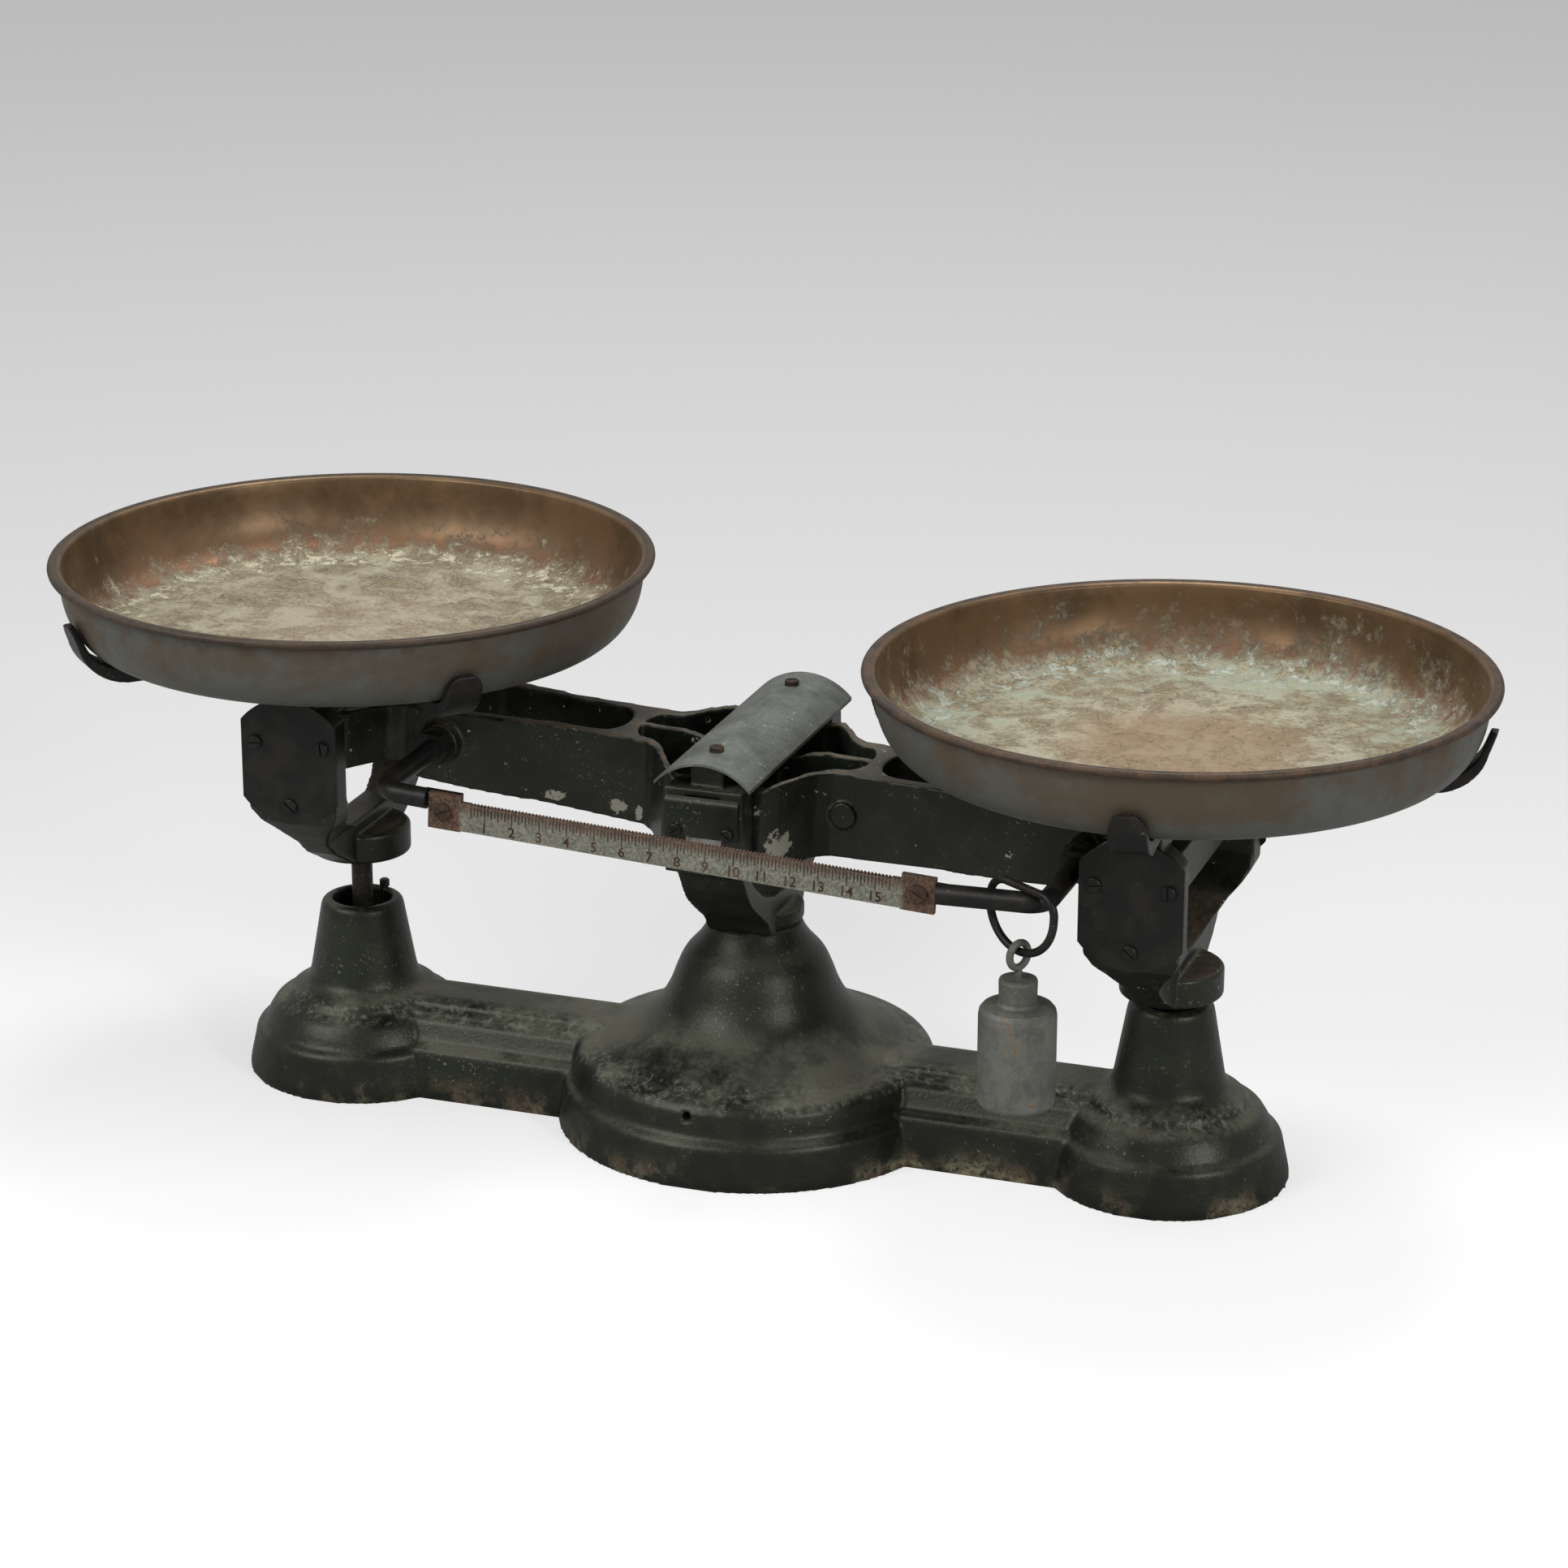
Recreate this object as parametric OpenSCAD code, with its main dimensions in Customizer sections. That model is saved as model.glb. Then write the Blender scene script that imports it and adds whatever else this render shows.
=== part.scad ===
// Counter scale with equal arms: a cast iron base with two posts, a tilting beam with a
// graduated bar and a sliding poise, and two copper pans on upright carriers.
// The origin is the middle of the base's underside. X runs along the beam, -Y is the front.

/* [Linkage] */
// Length of each beam arm, from the middle knife edge to an end knife edge
arm_length = 179.5; // [176:0.5:182]
// Height of the middle knife edge above the table
pivot_height = 154; // [152:0.5:156]
// Lean of the beam at rest, right side down, in degrees
rest_tilt = 2.9; // [1.8:0.1:3.2]
// Height of the stay's middle pin above the table
stay_height = 18; // [17:0.5:19]

/* [Pans] */
// Outer diameter of a pan over its rim
pan_diameter = 254; // [244:1:258]
// Depth of a pan, from the rim to the underside
pan_depth = 33.9; // [30:0.1:38]
// Thickness of the pan sheet
pan_gauge = 1.2; // [0.9:0.1:1.8]
// Width of a holder's arm
holder_arm_width = 17.8; // [14:0.2:22]
// Thickness of a holder's arm
holder_arm_thickness = 3.5; // [2.5:0.1:4.5]
// Height of the seat of the left pan holder above the end knife edge
holder_seat = 29.2; // [28.2:0.1:33]
// Height of the ring under the right pan holder
spacer_height = 5; // [3:0.1:8]

/* [Base] */
// Radius of the two end lobes at the table
end_lobe_radius = 50.4; // [48:0.2:53]
// Radius of the middle lobe at the table
middle_lobe_radius = 83.5; // [82:0.5:86]
// Wall thickness of the hollow base
base_wall = 7; // [5.5:0.1:7.5]
// Half width of the two connecting bars at the table
link_half_width = 32; // [30:0.5:34]
// Height of the flat top of the connecting bars
link_height = 38; // [37:0.5:40]
// Height of the posts
post_height = 76; // [73:0.5:76]
// Outer radius of a post at its top
post_top_radius = 17.7; // [17:0.1:19]
// Radius of the bore of a post
post_bore_radius = 12.7; // [11:0.1:13.2]

/* [Yoke] */
// Height of the middle knife edge above the pedestal of the base
yoke_rise = 65.5; // [65:0.5:67]
// Half width of the fork's arms
yoke_half_width = 14; // [12:0.5:16]
// Half width of a bearing box
box_half_width = 16.5; // [15.5:0.5:18]
// Half length of the sheet cover
cover_half_length = 64; // [60:0.5:68]
// Half width of the sheet cover
cover_half_width = 20.4; // [18:0.2:21]
// Radius of the sheet cover's arch
cover_radius = 27.6; // [26:0.2:30]
// Thickness of the sheet cover
cover_thickness = 1; // [0.8:0.1:1.5]
// Height of the cover's ridge above the middle knife edge
cover_rise = 23; // [22.6:0.1:25]

/* [Beam] */
// Height of the beam's top above the knife edges
beam_top = 12.5; // [11.5:0.1:13]
// Depth of the beam's lower edge under the knife edges near the middle
beam_bottom = 24; // [22:0.5:24.5]
// Thickness of the two rails
rail_thickness = 6; // [4.5:0.1:7]
// Half width of the beam at its narrow stretch
rail_half_width = 21; // [20:0.2:23]
// Half width of the beam's hub in the middle
hub_half_width = 47; // [46:0.2:48]
// Half width of the cross heads at the ends of the beam
head_half_width = 50.5; // [49:0.5:51]
// Half length of the end knives
knife_half_length = 64; // [62:0.5:65]
// Height of the knives' section
knife_height = 7.5; // [6.5:0.1:8]

/* [Carriers] */
// Distance from the middle plane to the outer face of a carrier's cheek
cheek_face = 67; // [66:0.5:69]
// Thickness of a cheek
cheek_thickness = 12.5; // [11.5:0.1:13]
// Radius of the round dust plates
plate_radius = 27; // [26:0.5:28]
// Half width of the dust plates between their flat sides
plate_half_width = 21.2; // [20:0.1:22]
// Thickness of the dust plates
plate_thickness = 1.5; // [1:0.1:2]
// Radius of the round weight under a carrier
disc_radius = 21.3; // [19:0.1:23]
// Height of the round weight under a carrier
disc_height = 12.8; // [10:0.1:13]
// Distance from the top of the right post up to the round weight over it
post_gap = 3.6; // [3.2:0.1:4.5]
// Radius of the rod under a carrier
rod_radius = 4.5; // [4:0.1:4.8]

/* [Graduated bar] */
// Distance from the middle plane forward to the graduated bar
bar_offset = 90; // [88:0.5:94]
// Number of main divisions
bar_divisions = 15; // [12:1:15]
// Spacing of the main divisions as a share of the beam's arm
division_share = 0.0657; // [0.062:0.0001:0.0657]
// Number of notches in one main division
notches_per_division = 8; // [4:1:8]
// Height of the graduated bar
bar_height = 12; // [10:0.5:13]
// Thickness of the graduated bar
bar_thickness = 2.5; // [2:0.1:3]
// Radius of the bent rods that hold the bar
bar_rod_radius = 4.25; // [3.5:0.05:4.5]

/* [Poise] */
// Distance from the right end knife edge back to the poise at rest
poise_inset = 37.5; // [37:0.5:39.5]
// Radius of the poise's body
poise_radius = 15.5; // [12:0.5:16]
// Length of the poise's body below its shoulder
poise_length = 41.5; // [35:0.5:44]
// Radius of the bail's wire
bail_wire_radius = 1.65; // [1.4:0.05:1.8]
// Half width of the opening inside the bail
bail_inner_half_width = 15.5; // [15:0.1:16.5]
// Turn of the bail's plane away from the bar, in degrees
bail_turn = 28; // [27:0.5:30]

/* [Stay] */
// Half height of the stay
stay_half_height = 4; // [3:0.1:4.2]
// Half thickness of the stay
stay_half_thickness = 4; // [3:0.1:4.5]
// Radius of the stay's pins
stay_pin_radius = 2.5; // [2:0.1:2.8]

/* [Clearances] */
// Radial clearance of the pin that the stay turns on
running_clearance = 0.05; // [0.03:0.01:0.1]
// Radial clearance at the two end pins of the stay
stay_end_clearance = 0.3; // [0.2:0.05:0.5]
// Gap between a fixed piece and the pocket that it sits in
seat_clearance = 0.05; // [0.02:0.01:0.1]
// Gap between a carrier and the stud under it at either end of the travel
stop_gap = 0.3; // [0.2:0.05:0.5]

/* [Hidden] */
$fn = 96;
left = -1;
right = 1;
stay_drop = pivot_height - stay_height;
end_drop = arm_length * sin(rest_tilt);
end_reach = arm_length * cos(rest_tilt);
pedestal_height = pivot_height - yoke_rise;
pan_radius = pan_diameter / 2;
pan_gap = 0.1;
pan_wall_radius = pan_radius - 5.8;
pan_flat_radius = pan_radius - 27;
post_foot_height = 45;
post_foot_radius = 22.7;
pedestal_radius = 19.8;
pedestal_top_thickness = 13;
bell_foot_inset = 19.5;
bell_foot_height = 36;
disc_drop = pivot_height - end_drop - post_height - post_gap;
stop_top = post_height + post_gap - stop_gap;
stop_ring = (post_top_radius + post_bore_radius) / 2;
stop_angle = 75;
bearing_depth = 4;
bearing_angle = 55;
knife_angle = 30;
box_inner = hub_half_width + 2.7;
box_outer = box_inner + 12.8;
box_bottom = pivot_height - 24.5;
box_floor = pivot_height - 12;
box_top = pivot_height + 11.5;
box_ceiling = pivot_height + 8.5;
box_pocket = 7.6;
cap_thickness = 2.4;
cap_face = box_outer + cap_thickness;
cap_bottom = pivot_height - 8.1;
cap_top = pivot_height + 8.3;
cap_screw_height = pivot_height - 5.5;
cap_screw_reach = 11;
cover_axis = pivot_height + cover_rise - cover_radius;
cover_screw_reach = box_inner - 3.7;
lug_bottom = pivot_height + 15.8;
hub_top = 9;
head_end = arm_length + 11;
head_bottom = 12;
carrier_opening = cheek_face - cheek_thickness;
plate_drop = 4.5;
cheek_radius = plate_radius - 1.5;
cheek_half_width = plate_half_width - 1.7;
disc_top = disc_height - disc_drop;
carrier_bar_bottom = beam_top + 4.5;
stirrup_top = 6 - disc_drop + disc_height;
hole_radius_m3 = 1.6;
division_pitch = division_share * arm_length;
bar_half_length = bar_divisions * division_pitch / 2 + 4.6;
bar_plate_length = 14;
bar_plate_bottom = bar_height + 0.5;
bar_plate_top = 2.5;
bar_end = bar_half_length + bar_plate_length;
bar_screw_reach = bar_half_length + 7.5;
bar_screw_height = -4.8;
rod_end_height = -3.9;
rod_bend_height = -0.6;
rod_start = bar_end + 0.8;
function rod_slope(run, low, high) = atan2(high - low, run - rod_start);
poise_station = arm_length - poise_inset;
right_bend = 8;
right_run = poise_station + 9;
left_bend = 9;
left_run = arm_length - 50.5;
left_rod_height = -0.8;
right_boss = 40;
left_boss = 31;
washer_thickness = 1.5;
nut_thickness = 5.5;
rod_rise = tan(rod_slope(right_run, rod_end_height, rod_bend_height));
bail_rest = rod_end_height + (poise_station - rod_start) * rod_rise + bar_rod_radius + 0.2;
bail_corner = 6;
bail_depth = 23.3;
bail_centre = bail_rest - bail_depth + bail_inner_half_width;
bail_axis = bail_inner_half_width + bail_wire_radius;
poise_hang = bail_rest - bail_depth - bail_wire_radius;
poise_x = poise_station * cos(rest_tilt) + poise_hang * sin(rest_tilt);
poise_z = pivot_height - poise_station * sin(rest_tilt) + poise_hang * cos(rest_tilt);
eye_wire_radius = 1.5;
eye_gap = 0.2;
eye_radius = 5;
eye_drop = eye_radius - eye_wire_radius - bail_wire_radius - eye_gap;
cap_drop = 11;
cap_height = 11;
cap_radius = 7.7;
spider_gap_radius = pan_radius - 24.5;
spider_bend = 18;
spider_bend_angle = 72;
spider_tip = 16.25;
stay_hub_radius = 7;
stay_fork_half_width = 8;
stay_fork_slot = rod_radius + 0.4;
stay_end_radius = 4.5;
rib_inner = 9;
rib_outer = 14;
iron = [0.17, 0.18, 0.17];
steel = [0.42, 0.41, 0.39];
rust = [0.36, 0.25, 0.18];
copper = [0.50, 0.35, 0.24];
zinc = [0.52, 0.53, 0.52];
sheet = [0.33, 0.35, 0.34];

// Places children in the frame of the leaning beam, whose origin is the middle knife edge
module on_beam() {
    translate([0, 0, pivot_height])
        rotate([0, rest_tilt, 0])
            children();
}

// Places children upright with the edge of one end knife as origin
module on_knife(side) {
    translate([side * end_reach, 0, pivot_height - side * end_drop])
        children();
}

// Repeats children on the front and on the rear
module both() {
    children();
    mirror([0, 1, 0])
        children();
}

// Turns a flat outline of (x, z) points into a slab between two distances from the middle plane
module slab(near, far) {
    rotate([90, 0, 0])
        translate([0, 0, near])
            linear_extrude(far - near)
                children();
}

// Turns a flat outline of (y, z) points into a slab along X, centred on the origin
module cross_slab(length) {
    rotate([90, 0, 90])
        translate([0, 0, -length / 2])
            linear_extrude(length)
                children();
}

// Round bar that points forward, from one distance from the middle plane to another
module forward_rod(radius, near, far) {
    rotate([90, 0, 0])
        translate([0, 0, near])
            cylinder(r = radius, h = far - near);
}

// Screw that points forward: shank, cheese head and slot, with the head's seat at the origin
module forward_screw(head_radius, head_height, shank_radius, shank_length, slot_turn) {
    difference() {
        union() {
            forward_rod(shank_radius, -shank_length, 0.5);
            forward_rod(head_radius, 0, head_height - 0.4);
            rotate([90, 0, 0])
                translate([0, 0, head_height - 0.4])
                    cylinder(r1 = head_radius, r2 = head_radius - 0.5, h = 0.4);
        }
        rotate([0, slot_turn, 0])
            translate([-head_radius - 1, -head_height - 1, -0.35])
                cube([2 * head_radius + 2, 1.7, 0.7]);
    }
}

// Outline of an end lobe and its post, from the axis outward and up
function end_lobe_outline(r) = let (bead = r - 18.4 - post_foot_radius) [
    [0, 0], [r, 0], [r - 0.4, 4], [r - 3.4, 17.8], [r - 4.4, 19.4], [r - 6, 20.4],
    [r - 7, 21], [r - 7.6, 22.4], [r - 9, 25.4], [r - 10.1, 27.2], [r - 11.2, 29],
    [r - 12.4, 30.3], [r - 14, 31.3], [r - 16.2, 32.1], [r - 17.5, 32.9],
    [post_foot_radius + bead, 35], [post_foot_radius + 0.92 * bead, 35.9],
    [post_foot_radius + 0.73 * bead, 36.9], [post_foot_radius + 0.5 * bead, 38.1],
    [post_foot_radius + 0.28 * bead, 39.6], [post_foot_radius + 0.1 * bead, 41.6],
    [post_foot_radius, post_foot_height],
    [post_top_radius, post_height - 2.6], [post_top_radius - 0.6, post_height - 1.2],
    [post_top_radius - 1.8, post_height - 0.2], [post_top_radius - 3, post_height],
    [0, post_height]
];

// Outline of the hollow of an end lobe and the bore of its post
function end_lobe_hollow(r) = [
    [0, -1], [r - base_wall, -1], [r - base_wall - 1, 15], [r - base_wall - 8, 20.5],
    [r - base_wall - 15, 26.5], [post_bore_radius + 6, 31.5], [post_bore_radius, 38],
    [post_bore_radius, post_height + 1], [0, post_height + 1]
];

// Point on the bell-shaped pedestal: share of the way out to its foot and up to its top
function bell(r, out, up) = [
    pedestal_radius + out * (r - bell_foot_inset - pedestal_radius),
    bell_foot_height + up * (pedestal_height - bell_foot_height)
];

// Outline of the middle lobe and the pedestal
function middle_lobe_outline(r) = [
    [0, 0], [r, 0], [r - 0.4, 4], [r - 2.6, 16.5], [r - 3.5, 18.2], [r - 5.2, 19.4],
    [r - 6.4, 20.6], [r - 7, 22.6], [r - 7.5, 26], [r - 8.5, 30], [r - 10.7, 32.8],
    [r - 14, 34.3], [r - 17, 35.1], [r - 18.6, 35.2], bell(r, 1, 0), bell(r, 0.955, 0.025),
    bell(r, 0.887, 0.057), bell(r, 0.796, 0.095), bell(r, 0.706, 0.139),
    bell(r, 0.615, 0.19), bell(r, 0.536, 0.244), bell(r, 0.468, 0.305),
    bell(r, 0.419, 0.362), bell(r, 0.376, 0.429), bell(r, 0.342, 0.491),
    bell(r, 0.312, 0.564), bell(r, 0.285, 0.621), bell(r, 0.262, 0.667),
    bell(r, 0.235, 0.712), bell(r, 0.199, 0.758), bell(r, 0.149, 0.804),
    bell(r, 0.095, 0.853), bell(r, 0.05, 0.907), bell(r, 0.018, 0.952), bell(r, 0, 1),
    [0, pedestal_height]
];

// Point on the hollow under the bell, in the same shares
function bell_hollow(r, out, up) = [
    out * (r - base_wall - 16.5),
    28.5 + up * (pedestal_height - pedestal_top_thickness - 28.5)
];

// Outline of the hollow of the middle lobe
function middle_lobe_hollow(r) = [
    [0, -1], [r - base_wall, -1], [r - base_wall - 0.8, 13], [r - base_wall - 7.5, 20],
    [r - base_wall - 10.5, 25], bell_hollow(r, 1, 0), bell_hollow(r, 0.833, 0.106),
    bell_hollow(r, 0.7, 0.213), bell_hollow(r, 0.567, 0.34), bell_hollow(r, 0.483, 0.5),
    bell_hollow(r, 0.433, 0.67), bell_hollow(r, 0.4, 0.798), bell_hollow(r, 0.333, 0.915),
    bell_hollow(r, 0.2, 1), bell_hollow(r, 0, 1)
];

// Half outline of a connecting bar across its length
function link_outline(w, h) = [
    [w, 0], [w - 0.4, 4], [w - 2.6, 19.6], [w - 3.6, 21.2], [w - 5.4, 22],
    [w - 7.6, 22.6], [w - 8.4, 24.2], [w - 11.2, 30], [w - 12, 31.2], [w - 13.6, 31.8],
    [w - 14.6, 32.4], [w - 15, 33.8], [w - 17.4, 34.4], [w - 18.4, 35], [w - 18.8, 36.6],
    [w - 21.6, h - 0.6], [w - 23.4, h]
];

// Half outline of the hollow of a connecting bar
function link_hollow(w, h) = [
    [w - base_wall, -1], [w - base_wall - 1, 15], [w - base_wall - 8, 21],
    [w - base_wall - 11, 27], [w - base_wall - 14, h - 6]
];

// Outline that is the same on both sides of the middle, from its half
function two_sided(half) = concat(
    half,
    [for (i = [len(half) - 1:-1:0]) [-half[i][0], half[i][1]]]
);

module base_casting() color(iron) difference() {
    union() {
        cross_slab(2 * arm_length)
            polygon(two_sided(link_outline(link_half_width, link_height)));
        rotate_extrude()
            polygon(middle_lobe_outline(middle_lobe_radius));
        for (side = [left, right])
            translate([side * arm_length, 0, 0])
                rotate_extrude()
                    polygon(end_lobe_outline(end_lobe_radius));
    }
    difference() {
        union() {
            cross_slab(2 * arm_length)
                polygon(two_sided(link_hollow(link_half_width, link_height)));
            rotate_extrude()
                polygon(middle_lobe_hollow(middle_lobe_radius));
        }
        both()
            translate([-9, rib_inner, stay_height - 8])
                cube([18, rib_outer - rib_inner, 49 - stay_height]);
        both()
            translate([-60, rib_inner, 40])
                cube([120, rib_outer - rib_inner, 40]);
    }
    for (side = [left, right])
        translate([side * arm_length, 0, 0])
            rotate_extrude()
                polygon(end_lobe_hollow(end_lobe_radius));
    for (side = [left, right])
        translate([side * arm_length, 0, 0])
            rotate([0, 0, stop_angle])
                translate([stop_ring, 0, post_height - 9])
                    cylinder(r = 1.6 + seat_clearance, h = 10);
    translate([0, 0, stay_height])
        forward_rod(stay_pin_radius + seat_clearance, -rib_outer - 1, rib_outer + 1);
    translate([0, 0, pedestal_height - 28])
        cylinder(r = 4 + seat_clearance, h = 40);
    rotate([0, 0, -2.5])
        translate([0, 0, 28])
            forward_rod(2, middle_lobe_radius - 30, middle_lobe_radius);
}

module post_stop_pins() color(iron)
    for (side = [left, right])
        translate([side * arm_length, 0, 0])
            rotate([0, 0, stop_angle])
                translate([stop_ring, 0, 0]) {
                    translate([0, 0, post_height - 8.5])
                        cylinder(r = 1.6, h = stop_top - post_height + 8);
                    translate([0, 0, post_height + 0.05])
                        cylinder(r = 2.15, h = stop_top - post_height - 0.65);
                    translate([0, 0, stop_top - 0.6])
                        cylinder(r1 = 2.15, r2 = 1.4, h = 0.6);
                }

module stay_pivot_pin() color(steel)
    translate([0, 0, stay_height])
        forward_rod(stay_pin_radius, -rib_outer - 0.5, rib_outer + 0.5);

// Height on the fork as a share of the way from the pedestal up to the bearing boxes
function fork(share) = pedestal_height + share * (box_bottom - pedestal_height);

// Front half outline of the fork, as distance forward and height
function yoke_outline() = [
    [0, fork(0)], [18.5, fork(0)], [20.5, fork(0.049)], [0.36 * box_outer, fork(0.137)],
    [0.416 * box_outer, fork(0.22)], [0.488 * box_outer, fork(0.293)],
    [0.576 * box_outer, fork(0.39)], [0.656 * box_outer, fork(0.483)],
    [0.726 * box_outer, fork(0.576)], [0.784 * box_outer, fork(0.698)],
    [0.832 * box_outer, fork(0.815)], [0.872 * box_outer, fork(0.912)],
    [0.928 * box_outer, fork(0.966)], [box_outer, fork(1)], [box_outer, box_top],
    [box_inner, box_top], [box_inner, fork(0.949)], [0.905 * box_inner, fork(0.841)],
    [0.765 * box_inner, fork(0.68)], [0.563 * box_inner, fork(0.515)],
    [0.322 * box_inner, fork(0.417)], [0, fork(0.388)]
];

module yoke_casting() color(iron) difference() {
    union() {
        translate([0, 0, pedestal_height])
            cylinder(r1 = 18.5, r2 = 20.5, h = 2.5);
        translate([0, 0, pedestal_height + 2.5])
            cylinder(r = 20.5, h = 5);
        both()
            cross_slab(2 * yoke_half_width)
                mirror([1, 0])
                    polygon(yoke_outline());
        both()
            translate([-box_half_width, -box_outer, box_bottom])
                cube([2 * box_half_width, box_outer - box_inner, box_top - box_bottom]);
        both()
            intersection() {
                translate([-7, -box_outer + 4.5, box_top - 3])
                    cube([14, 4.5, 14]);
                cover_bore(100);
            }
        both()
            intersection() {
                translate([-7, -box_outer + 4.5, lug_bottom])
                    cube([14, box_outer - 4.5 - cover_screw_reach + 4.5, 10]);
                cover_bore(100);
            }
    }
    both()
        translate([-box_pocket, -box_outer - 1, box_floor])
            cube([2 * box_pocket, box_outer - box_inner + 2, box_ceiling - box_floor]);
    both()
        for (side = [left, right])
            translate([side * cap_screw_reach, 0, cap_screw_height])
                forward_rod(1.5 + seat_clearance, box_outer - 8, box_outer + 1);
    both()
        translate([0, -cover_screw_reach, lug_bottom - 1])
            cylinder(r = 1.5 + seat_clearance, h = 20);
    translate([0, 0, pedestal_height - 1])
        cylinder(r = 4 + seat_clearance, h = 13);
}

// Solid cylinder along Y that fits just under the sheet cover
module cover_bore(half_length) {
    translate([0, 0, cover_axis])
        forward_rod(cover_radius - cover_thickness - 0.3, -half_length, half_length);
}

module yoke_bolt() color(steel) {
    translate([0, 0, pedestal_height - pedestal_top_thickness - 6.1])
        cylinder(r = 7.2, h = 6, $fn = 6);
    translate([0, 0, pedestal_height - pedestal_top_thickness - 3.5])
        cylinder(r = 4, h = pedestal_top_thickness + 14.5);
}

// Block with a groove that the middle knife edge stands in
module centre_bearing() {
    slab(box_inner + 1, box_outer - 0.5)
        difference() {
            translate([-box_pocket + seat_clearance, box_floor])
                square([2 * (box_pocket - seat_clearance), pivot_height + bearing_depth - box_floor]);
            translate([0, pivot_height - 0.05])
                polygon([
                    [0, 0], [8 * tan(bearing_angle), 8], [-8 * tan(bearing_angle), 8]
                ]);
        }
}

module centre_bearing_front() color(steel) centre_bearing();

module centre_bearing_rear() color(steel) mirror([0, 1, 0]) centre_bearing();

// Plate that closes a bearing box, with a rounded upper edge
module bearing_cap() {
    difference() {
        union() {
            slab(box_outer, cap_face)
                translate([-box_half_width + 1, cap_bottom])
                    square([2 * box_half_width - 2, cap_top - cap_thickness - cap_bottom]);
            intersection() {
                translate([0, -box_outer, cap_top - cap_thickness])
                    rotate([0, 90, 0])
                        cylinder(r = cap_thickness, h = 2 * box_half_width - 2, center = true);
                slab(box_outer, cap_face + 1)
                    translate([-box_half_width, cap_top - cap_thickness])
                        square([2 * box_half_width, cap_thickness + 1]);
            }
        }
        for (side = [left, right])
            translate([side * cap_screw_reach, 0, cap_screw_height])
                forward_rod(1.5 + seat_clearance, box_outer - 1, cap_face + 1);
    }
}

module bearing_cap_front() color(iron) bearing_cap();

module bearing_cap_rear() color(iron) mirror([0, 1, 0]) bearing_cap();

module bearing_cap_screws() color(iron)
    both()
        for (side = [left, right])
            translate([side * cap_screw_reach, -cap_face, cap_screw_height])
                forward_screw(2.7, 1.8, 1.5, 9, 35 * side);

module centre_cover() color(sheet) difference() {
    rotate([90, 0, 0])
        linear_extrude(2 * cover_half_length, center = true)
            intersection() {
                translate([0, cover_axis])
                    difference() {
                        circle(cover_radius);
                        circle(cover_radius - cover_thickness);
                    }
                translate([-cover_half_width, cover_axis])
                    square([2 * cover_half_width, cover_radius + 1]);
            }
    both()
        translate([0, -cover_screw_reach, cover_axis])
            cylinder(r = 1.5 + seat_clearance, h = cover_radius + 2);
}

module cover_screws() color(iron)
    both()
        translate([0, -cover_screw_reach, cover_axis + cover_radius + 0.1])
            rotate([-90, 0, 0])
                forward_screw(3, 2, 1.5, 6.4, 20);

// Half width of the beam at a distance from the middle: wide hub, waist, wide head
function flare(t) = t <= 0 ? 0 : t >= 1 ? 1 : t * t * (3 - 2 * t);
function beam_half_width(x) =
    x < arm_length / 2
        ? rail_half_width
            + (hub_half_width - rail_half_width) * pow(flare((44 - x) / 25), 1.3)
        : rail_half_width + 4.5 * flare((x - 70) / (arm_length - 120))
            + (head_half_width - rail_half_width - 4.5)
                * pow(flare((x - arm_length + 34) / 24), 1.2);

// Side outline of the beam: rounded down in the middle and stepped up under the heads
function beam_side() = [
    [0, hub_top], [19.5, hub_top], [22, hub_top + 1.6], [25.5, beam_top - 0.8],
    [31, beam_top], [arm_length - 11, beam_top], [arm_length - 6.5, 8], [head_end, 8],
    [head_end, -head_bottom], [arm_length - 34, -head_bottom],
    [arm_length - 38.5, -beam_bottom + 5.5], [100, -beam_bottom + 3],
    [40, -beam_bottom], [0, -beam_bottom]
];

// Opening between the rails from x0 to x1, with round ends of radius r
function pocket_half(x, x0, x1, r) =
    let (end = min(x - x0, x1 - x, r))
    (beam_half_width(x) - rail_thickness) * sqrt(max(0, 1 - pow(1 - end / r, 2)));
function pocket_outline(x0, x1, r, n) = two_sided_y(
    [for (i = [0:n]) let (x = (x0 + x1) / 2 - (x1 - x0) / 2 * cos(180 * i / n))
        [x, pocket_half(x, x0, x1, r)]]
);
function two_sided_y(half) = concat(
    half,
    [for (i = [len(half) - 2:-1:1]) [half[i][0], -half[i][1]]]
);

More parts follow.
